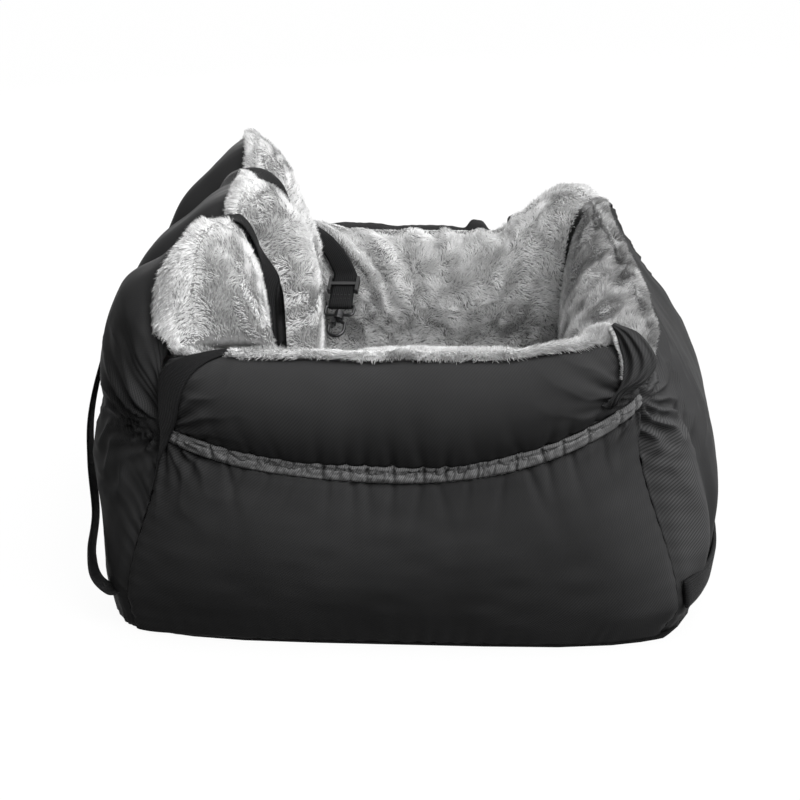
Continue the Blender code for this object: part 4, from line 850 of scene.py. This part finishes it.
def pile(name, points, out, s, t, count, seed, share=None, lift=None, length=6.5 * mm,
         mean=PLUSH_TONE):
    """Tufts over a grid of points: slim spikes with three sides, rooted in the grid's cells by
    their area times share, that lie over along a slowly turning field. lift stands them up."""
    rng = np.random.default_rng(seed)
    side_a = points[1:, :-1] - points[:-1, :-1]
    side_b = points[:-1, 1:] - points[:-1, :-1]
    area = np.linalg.norm(np.cross(side_a, side_b), axis=-1)
    area = (area if share is None else area * share[:-1, :-1]).ravel()
    cell = rng.choice(len(area), count, p=area / area.sum())
    columns = points.shape[1] - 1
    i, j = cell // columns, cell % columns
    a, b = rng.random((2, count))

    def mixed(values):
        """The grid's values at the tufts' places in their cells."""
        one, two = (a, b) if values.ndim == 2 else (a[:, None], b[:, None])
        low = values[i, j] * (1 - one) + values[i + 1, j] * one
        high = values[i, j + 1] * (1 - one) + values[i + 1, j + 1] * one
        return low * (1 - two) + high * two

    root, normal = mixed(points), unit(mixed(out))
    flat_s, flat_t = mixed(s), mixed(t)
    down = points[i, j + 1] - points[i, j]
    down = unit(down - np.sum(down * normal, axis=1, keepdims=True) * normal)
    across = np.cross(normal, down)
    turn = 2.4 * lumps(flat_s, flat_t, 38 * mm, seed) + 1.6 * lumps(flat_s, flat_t, 13 * mm, seed + 1)
    turn = turn + rng.normal(0, 0.25, count)
    lay = down * np.cos(turn)[:, None] + across * np.sin(turn)[:, None]
    tilt = 1.08 + 0.22 * lumps(flat_s, flat_t, 15 * mm, seed + 2) + rng.normal(0, 0.12, count)
    tall = length * rng.uniform(0.65, 1.1, count)
    ruffle = 1
    if lift is not None:
        stand = mixed(lift)
        tilt = (tilt + rng.normal(0, 0.5, count) * stand) * (1 - 0.6 * stand)
        ruffle = 1 + 2 * stand
    if share is not None:
        tall *= np.clip(mixed(share), 0.4, 1)
    along = normal * np.cos(tilt)[:, None] + lay * np.sin(tilt)[:, None]
    side = unit(np.cross(along, normal + 0.3 * lay))
    up = np.cross(side, along)
    wide = (0.52 * mm * rng.uniform(0.7, 1.2, count) * (0.8 + 0.2 * ruffle))[:, None, None]
    angles = np.array((0.5, 0.5 + 2 / 3, 0.5 + 4 / 3)) * math.pi
    ring = (np.cos(angles)[None, :, None] * side[:, None]
            + 0.6 * np.sin(angles)[None, :, None] * up[:, None])
    foot = root[:, None] - along[:, None] * (tall * 0.1)[:, None, None] + ring * wide
    tip = (root + along * tall[:, None])[:, None]
    corners = np.concatenate([foot, tip], axis=1)
    spikes = np.array([(0, 2, 1), (0, 1, 3), (1, 2, 3), (2, 0, 3)])
    faces = (spikes[None] + np.arange(count)[:, None, None] * 4).reshape(-1, 3)
    mesh = bpy.data.meshes.new(name)
    mesh.from_pydata(corners.reshape(-1, 3).tolist(), [], faces.tolist())
    tone = mean + 0.10 * lumps(flat_s, flat_t, 24 * mm, seed + 3)
    tone += 0.12 * lumps(flat_s, flat_t, 8 * mm, seed + 4) + rng.normal(0, 0.05, count) * ruffle
    # Painted shade at each tuft's root and painted light at its tip.
    root_shade_tip_light = np.array((-0.05, -0.05, -0.05, 0.12))
    tones = np.clip(tone[:, None] + root_shade_tip_light[None], 0, 1).astype(np.float32)
    mesh.attributes.new("tone", "FLOAT", "POINT").data.foreach_set("value", tones.ravel())
    mesh.materials.append(pile_finish)
    return dressed(placed(name, mesh), "grey_plush")


def line_wall(name, wall, us, tufts, seed, mean=PLUSH_TONE):
    """The plush lining of one wall: its backing, recessed under the pile, and the pile. The
    plush laps over the ridge in a soft lip, and far round the backrest's rounded ends."""
    if wall is backrest:
        over = 0.035 + 0.2 * ease(0.80, 0.93, np.abs(us)) * (1 - ease(0.95, 0.995, np.abs(us)))
    elif name == "far_side":
        over = 0.008 + 0.02 * ease(0.45, 0.55, us)
    else:
        over = 0.042 - 0.03 * ease(0.88, 0.98, us)
    over = over[:, None]
    inside = np.broadcast_to(-1 + np.linspace(0, RIDGE_SEAM, 70), (len(us), 70))
    ks = np.concatenate([inside, over * np.linspace(0.06, 1, 12)[None]], axis=1)
    u, k, points, out, s, t = panel(wall, us, ks)

    full = (1 - np.abs(u) ** 8) * (1 - (1 - np.minimum(np.abs(k), 1)) ** 8)
    lap = ease(0, 0.25, k / over)
    lip = ease(-0.07, 0.01, k) * (1 - ease(0.7, 1, k / over)) * ease(0.01, 0.03, over)
    depth = (2 * mm + 6 * mm * full) * (1 - lap) + 0.6 * mm * lap
    recess = (depth - 2 * mm) * 0.45 * (1 - lap)
    recess -= (1.5 * mm + 3.5 * mm * lip) * ease(-0.05, 0.01, k)
    recess += 3.2 * mm * (1 - ease(0.008, 0.055, 1 - np.abs(u))) * (1 - lap)

    # share thins the tufts out: at the seams, in the dark creases, and under what lies on them.
    creased = name in ("front_wall", "far_side")
    share = 0.05 + 0.95 * ease(0.002, 0.014, 1 - np.abs(u))
    share *= 0.02 + 0.98 * ease(0.028, 0.05, 1 - u) if creased else 1
    under = np.zeros_like(u)
    if wall is backrest:
        press = strap_press(u)
        aside = (np.abs(u) - STRAP_PLACE) * BACKREST_HALF / (WEBBING / 2)
        sunk = np.clip(3.4 * mm + STRAP_TILT * aside, 0.5 * mm, 7.2 * mm)
        recess = recess * (1 - press) + (sunk * (1 - lap) - 1 * mm * lap) * press * full
        share = share * (1 - 0.95 * press)
    elif wall is not front:
        under = under_tether(u, k)[0]
        share = share * (1 - 0.97 * under ** 0.4)
    if name == "far_side":
        slant = s - 0.35 * (t.max() - t)
        fold = np.sin(2 * math.pi * slant / (37 * mm) + 1.5 * lumps(s, t, 40 * mm, 231))
        share = share * (1 - 0.75 * ease(-0.035, -0.01, k) * (1 - ease(0.4, 0.5, u)))
        recess -= 3.6 * mm * fold * ease(-0.75, -0.25, k) * (1 - lap) * (1 - ease(0.4, 0.8, u))
    recess = recess * (1 - under) + 1.2 * mm * under
    depth = np.maximum(depth, recess + 0.5 * mm)
    top = wall.held(points - out * recess[..., None], u)
    bottom = wall.held(points - out * depth[..., None], u)
    # Painted shade: the backing's colour darkens in the crease at one corner seam of the front and far
    # walls.
    crease = (1 - ease(0.03, 0.055, 1 - u)) * (1 - ease(-0.2, -0.08, k)) if creased else 0 * u
    piece = cloth(name + "_plush_backing", top, bottom, s, t, backing, crease)
    dressed(piece, "grey_plush", name + "_plush_lining")

    # The tufts stand up towards the ridge, and those of the last rows hang over it as a fringe.
    rise = unit(np.gradient(points, axis=1))
    edge = ease(-0.10, 0.0, k)
    seen, rim = (slice(None), slice(12, None)), (slice(None), slice(-10, None))
    lean = unit(out + 0.9 * rise * edge[..., None])
    pile(name + "_plush_pile", top[seen], lean[seen], s[seen], t[seen], tufts, seed,
         (share * (1 + 0.8 * edge))[seen], 0.5 * edge[seen], mean=mean)
    fringe = 5 * mm if name == "far_side" else 8.5 * mm
    pile(name + "_plush_edge", top[rim], unit(out + 1.2 * rise)[rim], s[rim], t[rim],
         int(tufts * 0.2), seed + 9, share[rim], 0.9 + 0 * u[rim], fringe, mean)


even = np.linspace(-1, 1, 121)
line_wall("near_side", sides["near"], even, tufts=30000, seed=201)
line_wall("far_side", sides["far"], np.linspace(-1, 1, 201), tufts=46000, seed=221)
# Painted light and shade in the pile's tone: the backrest's is painted lighter and the front wall's
# much darker than the side walls'.
line_wall("backrest", backrest, crowded(221, 0.35), tufts=49000, seed=241, mean=0.70)
line_wall("front_wall", front, even, tufts=46000, seed=261, mean=0.34)

# Seat cushion
# A loose pad on the foam base: plush on top, plain cloth under it, and fibre between.
# Its corners are pointed and its sides pull in between them.

# The cushion keeps a clearance to the well's faces, and its foot lies on the foam slab.
PAD_CLEARANCE, FOAM_THICK = 1.2 * mm, 58 * mm
PAD_MIDDLE, PAD_HALF = (WELL_FRONT - WELL_BACK) / 2, (WELL_FRONT + WELL_BACK) / 2


def cushion_grid(inset, edge, crown_height, count=81):
    """A crowned square: x and y follow the sine of even steps, z the root of (1-u^4)(1-v^4)."""
    steps = np.sin(np.linspace(-math.pi / 2, math.pi / 2, count))
    u, v = np.meshgrid(steps, steps, indexing="ij")
    crown = np.sqrt((1 - u ** 4) * (1 - v ** 4))
    half_x, half_y = (half - PAD_CLEARANCE - inset for half in (PAD_HALF, WELL_Y))
    x = PAD_MIDDLE + half_x * u * (1 - 0.035 * (1 - v * v) * np.abs(u))
    y = half_y * v * (1 - 0.035 * (1 - u * u) * np.abs(v))
    z = edge + (crown_height - edge) * crown + 1.2 * mm * lumps(x, y, 60 * mm, 301) * crown
    return np.stack([x, y, z], -1)


low = FLOOR + FOAM_THICK + GAP
pad_edge = low + (CUSHION_TOP - low) * 0.55
top = cushion_grid(inset=0, edge=pad_edge, crown_height=CUSHION_TOP + 4 * mm)
below = cushion_grid(inset=8 * mm, edge=pad_edge, crown_height=CUSHION_TOP - 8 * mm)
s, t = top[..., 0], top[..., 1]
piece = cloth("cushion_plush_backing", top, below, s, t, backing)
dressed(piece, "grey_plush", "cushion_plush_top", "cushion_filling", "cushion_underside")
up = unit(np.cross(np.gradient(top, axis=0), np.gradient(top, axis=1)))
up[..., 2] = np.maximum(up[..., 2], 0.05)
amidst = (slice(6, -6), slice(6, -6))
pile("cushion_plush_pile", top[amidst], up[amidst], s[amidst], t[amidst], count=34000, seed=303)

# Near front corner: ear fold
# The spare cloth of the corner stands up in one folded ear of nylon with its plush inside. It
# runs from the ridge's end down into the pinch of the waist, and a slit shows its plush edge.


def through(knots, count):
    """Points on a smooth curve through the knots, by Catmull and Rom's rule."""
    knots = np.array(knots, float)
    knots = np.concatenate([2 * knots[:1] - knots[1:2], knots, 2 * knots[-1:] - knots[-2:-1]])
    spans = len(knots) - 3
    s = np.linspace(0, spans, count)
    i = np.minimum(s.astype(int), spans - 1)
    t = (s - i)[:, None]
    a, b, c, d = knots[i], knots[i + 1], knots[i + 2], knots[i + 3]
    return 0.5 * (2 * b + (c - a) * t + (2 * a - 5 * b + 4 * c - d) * t * t
                  + (3 * b - a - 3 * c + d) * t ** 3)


EAR_WIDTH, EAR_HEIGHT = 30 * mm, 80 * mm
slit_side = through(np.array(((182, -186, 289), (188, -196, 276), (191, -207, 261),
                              (189, -215, 247), (181, -220, 236), (175, -220, 229))) * mm, 60)
outer_side = through(np.array(((184, -186, 292), (205, -196, 286), (219, -206, 267),
                               (212, -213, 252), (193, -220, 240), (178, -219, 231))) * mm, 60)
w, rows = np.linspace(0, 1, 22)[None], np.linspace(0, 1, 60)[:, None]
ear = slit_side[:, None] * (1 - w[..., None]) + outer_side[:, None] * w[..., None]
out = unit(np.cross(np.gradient(ear, axis=0), np.gradient(ear, axis=1)))
out *= np.where(out[..., 1:2] > 0, -1, 1)
s, t = w * EAR_WIDTH + 0 * rows, rows * EAR_HEIGHT + 0 * w
puff = 9 * mm * np.sin(math.pi * w) ** 0.6 * np.sin(math.pi * (rows * 0.94 + 0.03)) ** 0.6
puff = puff + 1.7 * mm * np.sin(2 * math.pi * (w * 3.1 + 0.6 * rows)) * ease(0, 0.3, rows)
puff += 0.9 * mm * lumps(s, t, 9 * mm, 321)
outer, inner = ear + out * puff[..., None], ear + out * (puff - NYLON_THICK)[..., None]
# Painted sheen on the ear, growing from its top down to its tail.
piece = cloth("corner_ear_fold", outer, inner, s, t, nylon, 0.15 + 0.5 * rows + 0 * s)
dressed(piece, "black_nylon")

across = np.linspace(-1, 1, 6)[None]
inside = slit_side[:32, None] + across[..., None] * np.array((0, 2.5, 0)) * mm
facing = np.broadcast_to(np.array((-0.75, -0.6, 0.25)), inside.shape)
s = across * 2 * mm + 0 * inside[..., 0]
t = np.linspace(0, 45 * mm, 32)[:, None] + 0 * s
pile("corner_ear_plush", inside, facing, s, t, count=700, seed=331, lift=0.8 + 0 * s,
     length=4.4 * mm, mean=0.44)

azimuth, height = np.meshgrid(np.linspace(0, 2 * math.pi, 25), np.linspace(0.05, 1, 12),
                              indexing="ij")
ball = np.stack([np.cos(azimuth) * np.cos(height * 1.5), np.sin(azimuth) * np.cos(height * 1.5),
                 np.sin(height * 1.5)], -1)
tuft = np.array((176, -181, 272)) * mm + ball * np.array((17, 9, 13)) * mm
pile("corner_tuft_plush", tuft, ball, azimuth * 12 * mm, height * 12 * mm, count=5200,
     seed=341, lift=0.5 + 0 * height, length=6 * mm)

# Backrest straps
# Two lengths of black polyester webbing. Each comes up from behind the cushion, pulls the
# backrest in, goes down its neck, and hangs slack to the corner seam near the floor.

COLUMNS = np.linspace(-1, 1, 9)
RIB_PITCH, EDGE_PITCH = 1.3 * mm, 2.1 * mm


def webbing_finish():
    """Ribbed polyester webbing: the sum of a sine along it and a sine across it, as its bump
    and as its tone."""
    made, tree, paint = shader("black_webbing_ribs", (0.008, 0.008, 0.0085), roughness=0.55,
                               specular=0.08)
    x, y, _ = add(tree, "SeparateXYZ", {0: laid_flat(tree)}).outputs
    waves = [combined(tree, "SINE", combined(tree, "MULTIPLY", way, 2 * math.pi / pitch))
             for way, pitch in ((x, RIB_PITCH), (y, EDGE_PITCH))]
    both = combined(tree, "ADD", *waves)
    raised(tree, paint, both, distance=0.25 * mm, strength=0.7)
    share = add(tree, "MapRange", {"Value": both, "From Min": -2, "From Max": 2})
    feed(paint, {"Base Color": blended(tree, share.outputs["Result"], (0.006, 0.006, 0.006, 1),
                                       (0.02, 0.02, 0.021, 1))})
    return made


webbing = webbing_finish()


def on_wall(wall, us, ks, gap, tilt=0):
    """Two grids of webbing on a wall, its middle at the places given by us and ks. tilt lifts
    the edge of the last column and sinks the other one."""
    reach = wall.ends(wall.height(us, ks), ks, us)[1]
    u = us[:, None] + COLUMNS[None] * WEBBING / 2 / reach[:, None]
    u = np.clip(u, -0.985, 0.985) + 0.002 * COLUMNS[None]
    k = np.broadcast_to(ks[:, None], u.shape)
    normals = wall.normals(u, k)
    lift = gap + np.outer(tilt * np.ones(len(ks)), COLUMNS)
    foot = wall.surface(u, k) + normals * lift[..., None]
    return foot + normals * WEBBING_THICK, foot


def hanging(path, widths):
    """Two grids of webbing along a free path, with its width direction at each point."""
    tangent = unit(np.gradient(path, axis=0))
    widths = unit(widths - np.sum(widths * tangent, axis=1, keepdims=True) * tangent)
    middle = path[:, None] + COLUMNS[None, :, None] * WEBBING / 2 * widths[:, None]
    lift = np.cross(tangent, widths)[:, None] * WEBBING_THICK / 2
    return middle - lift, middle + lift


def strap(name, top, foot, node):
    """A webbing piece from its two grids, thinned to its edges so that they round off."""
    thin = (0.5 * np.abs(COLUMNS) ** 8)[None, :, None] * (top - foot) * 0.5
    top, foot = top - thin, foot + thin
    along = np.linalg.norm(np.diff(top, axis=0), axis=-1).mean(1)
    s = np.concatenate([[0], np.cumsum(along)])[:, None] + 0 * COLUMNS[None]
    t = COLUMNS[None] * WEBBING / 2 + 0 * s
    dressed(cloth(name, top, foot, s, t, webbing), "black_webbing", node)


# The slack stretch's route, from the backrest's neck to the corner seam, in mm on the far side.
SLACK = ((-274, 85, 246), (-292, 90, 205), (-304, 98, 159), (-305, 110, 118), (-297, 138, 78),
         (-292, 176, 55), (-283, 196, 40), (-267, 204, 32), (-251, 205, 38), (-241, 205, 44))
for name, side in (("near", -1), ("far", 1)):
    ks = np.concatenate([np.linspace(-0.74, -0.005, 50), np.linspace(0.005, 0.41, 26)])
    out_of_cushion, ridge = ease(-0.73, -0.63, ks), ease(-0.5, -0.3, ks)
    if name == "near":
        tilt = (2.2 - 2.7 * ridge) * out_of_cushion * (1 - ease(-0.12, 0.02, ks))
        lift = out_of_cushion * (1 - ridge)
    else:
        tilt = (2.2 * ridge - 1) * out_of_cushion * (1 - ease(0.1, 0.3, ks))
        lift = ease(-0.35, -0.15, ks) * (1 - ease(0.1, 0.3, ks))
    top, foot = on_wall(backrest, np.full(len(ks), side * STRAP_PLACE), ks,
                        (GAP + 5 * mm * lift)[:, None], STRAP_TILT * tilt)
    last = (top[-1] + foot[-1]).mean(0) / 2
    path = through([last] + [(x * mm, side * y * mm, z * mm) for x, y, z in SLACK], 90)[1:]
    turned = ease(0, 0.7, np.linspace(0, 1, len(path))[:, None])
    slack_top, slack_foot = hanging(
        path, np.array((0, 1, 0)) + side * turned * np.array((0.10, 0, 0.17)))
    strap(name + "_backrest_webbing", np.concatenate([top, slack_top]),
          np.concatenate([foot, slack_foot]), name + "_backrest_strap")

# Tethers
# Webbing from the corner seam over the side wall's ridge. Its end is folded round the eye of a
# snap hook and sewn, and a three-bar slide sits above the fold.

thread = nylon_twill("black_thread", (0.05, 0.05, 0.051), roughness=0.6)


def stitches(name, middles, along, out):
    """Lockstitches: spindles 2.8 mm long whose ends dip into the cloth."""
    side = np.cross(out, along)
    tips = [middles + (hand * 1.4 * mm * along - 0.25 * mm * out) for hand in (-1, 1)]
    ring = [middles + 0.35 * mm * side, middles + 0.3 * mm * out,
            middles - 0.35 * mm * side, middles - 0.3 * mm * out]
    points = np.stack(tips + ring, 1).reshape(-1, 3)
    one = [(0, 3, 2), (0, 4, 3), (0, 5, 4), (0, 2, 5), (1, 2, 3), (1, 3, 4), (1, 4, 5), (1, 5, 2)]
    tip, first, second = points[0], points[2], points[3]
    if np.dot(np.cross(second - tip, first - tip), first + second - 2 * middles[0]) < 0:
        one = [face[::-1] for face in one]
    faces = (np.array(one)[None] + 6 * np.arange(len(middles))[:, None, None]).reshape(-1, 3)
    mesh = bpy.data.meshes.new(name)
    mesh.from_pydata(points.tolist(), [], faces.tolist())
    mesh.uv_layers.new(name="cloth")
    mesh.materials.append(thread)
    dressed(placed(name, mesh), "black_webbing")


# The hook eye's wire, the length of the sewn hem, and where the far tether's fold hangs.
EYE_WIRE, HEM = 3.4 * mm, 15 * mm
HOOK_PLACE = (-90 * mm, 110.6 * mm, 198 * mm)
FOLD = EYE_WIRE / 2 + GAP + WEBBING_THICK / 2
for name, side in (("near", -1), ("far", 1)):
    ks = np.concatenate([np.linspace(0.655, 0.005, 48), np.linspace(-0.005, -0.41, 24)])
    top, foot = on_wall(sides[name], under_tether(0, ks)[1], ks, GAP + 0.8 * mm)
    row = (top[-1] + foot[-1]) / 2
    end = np.array((1, side, 1)) * HOOK_PLACE
    up = unit(row.mean(0) - end)
    across = row[-1] - row[0]
    across = unit(across - np.dot(across, up) * up)
    out = np.cross(up, across)
    if np.dot(out, (top[-1] - foot[-1]).mean(0)) < 0:
        across, out = -across, -out
    origin = end - out * FOLD
    hand = 1 if np.dot(across, top[-1][-1] - top[-1][0]) > 0 else -1
    # The webbing's middle line and its outward direction, half round the eye and up the back.
    turn = np.linspace(0, math.pi, 15)
    back = FOLD - WEBBING_THICK - GAP
    y = np.concatenate([[FOLD], FOLD * np.cos(turn), [-FOLD, back, back]])
    z = np.concatenate([[2 * mm], -FOLD * np.sin(turn), [2 * mm, 8 * mm, HEM]])
    face_y = np.concatenate([[1], np.cos(turn), [-1, -1, -1]])
    face_z = np.concatenate([[0], -np.sin(turn), [0, 0, 0]])
    middle = (origin + y[:, None] * out + z[:, None] * up)[:, None] + (
        COLUMNS * hand * WEBBING / 2)[None, :, None] * across
    lift = ((face_y[:, None] * out + face_z[:, None] * up) * WEBBING_THICK / 2)[:, None]
    strap(name + "_tether_webbing", np.concatenate([top, middle + lift]),
          np.concatenate([foot, middle - lift]), name + "_tether_strap")
    face = origin + (FOLD + WEBBING_THICK / 2 + 0.12 * mm) * out
    middles = np.array([face + x * mm * across + z * mm * up
                        for z in (7, 12.5) for x in (-8.4, -4.2, 0, 4.2, 8.4)])
    stitches(name + "_hem_stitches", middles, across, out)

# Front wall: lower strap
# Webbing across the foot of the front wall's outer face, sewn into both corner seams.
# Its outer face stands clear of the cover's creases, which would come through it otherwise.

LOWER_STRAP_HEIGHT, LOWER_STRAP_LIFT = 50 * mm, 3.2 * mm
u, z = np.broadcast_arrays(np.linspace(-0.985, 0.985, 90)[:, None],
                           LOWER_STRAP_HEIGHT + COLUMNS[None] * WEBBING / 2)
k = np.sqrt(1 - (z - FLOOR) / (front.top(u) - FLOOR))
points, normals = front.surface(u, k), front.normals(u, k)
strap("front_lower_webbing", points + normals * (LOWER_STRAP_LIFT + WEBBING_THICK),
      points + normals * GAP, "front_lower_strap")

# Base: bottom cloth and foam
# The base cloth closes the seat's underside, with its raw edge turned in. A slab of upholstery
# foam lies on it under the cushion, with softly rounded edges.

base_weave, tree, paint = shader("base_cloth_weave", (0.018, 0.018, 0.018), roughness=0.8,
                                 specular=0.05)
raised(tree, paint, speckle(tree, scale=700), distance=0.2 * mm)

foam, tree, paint = shader("upholstery_foam", (0.62, 0.60, 0.52), roughness=0.9)
place = add(tree, "TexCoord", {}).outputs["Object"]
pores = add(tree, "TexVoronoi", {"Vector": place, "Scale": 900})
raised(tree, paint, pores.outputs["Distance"], distance=0.4 * mm)

FOAM_ROUND, FOAM_SAG = 3 * mm, 0.3 * mm
low, high = (np.array(corner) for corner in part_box("base_foam"))
middle, half = (low + high) / 2, (high - low) / 2
steps = np.sin(np.linspace(-math.pi / 2, math.pi / 2, 61))
u, v = np.meshgrid(steps, steps, indexing="ij")
x, y = middle[0] + half[0] * u, middle[1] + half[1] * v
rim = np.maximum(np.abs(u), np.abs(v)) ** 30 * FOAM_ROUND
wave = FOAM_SAG * (1 + lumps(x, y, 70 * mm, 401)) / 2 * (1 - u ** 8) * (1 - v ** 8)
top = np.stack([x, y, high[2] - rim - wave * 0.4], -1)
foot = np.stack([x, y, low[2] + rim * 0.5 + wave], -1)
piece = cloth("base_foam_slab", top, foot, x, y, foam)
dressed(piece, "foam", "base_foam")

# Hardware
# Moulded slides and cast hooks at the ends of the tethers, and the coil zip in the backrest's
# cover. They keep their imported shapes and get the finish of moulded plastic, coated metal and tape.


def hard_finish(name, colour, roughness, metallic, grain, height):
    """A hard finish: fine grain in its bump, and broader patches of wear in its roughness."""
    made, tree, paint = shader(name, colour, roughness)
    patches = speckle(tree, scale=90)
    sheen_and_wear = add(tree, "MapRange", {"Value": patches, "To Min": roughness - 0.12,
                                  "To Max": roughness + 0.12})
    feed(paint, {"Metallic": metallic, "Roughness": sheen_and_wear.outputs["Result"]})
    raised(tree, paint, speckle(tree, grain), height, strength=0.4)
    return made


moulded = hard_finish("moulded_black_plastic", (0.012, 0.012, 0.0125), roughness=0.42,
                      metallic=0, grain=1500, height=0.05 * mm)
coated = hard_finish("black_coated_metal", (0.035, 0.035, 0.036), roughness=0.34,
                     metallic=0.85, grain=2200, height=0.02 * mm)
tape = hard_finish("woven_zip_tape", (0.014, 0.014, 0.0145), roughness=0.85,
                   metallic=0, grain=1900, height=0.2 * mm)

# The first of these words in a carried-over node's name gives it its finish.
FINISHES = (("adjuster", moulded), ("hook", coated), ("eye", coated), ("gate", coated),
            ("slider", coated), ("pull", coated), ("teeth", moulded), ("tape", tape),
            ("bottom", base_weave))
for node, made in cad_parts.items():
    finish = [given for word, given in FINISHES if word in node]
    if finish:
        for held in made.material_slots:
            held.link = "OBJECT"
            held.material = finish[0]
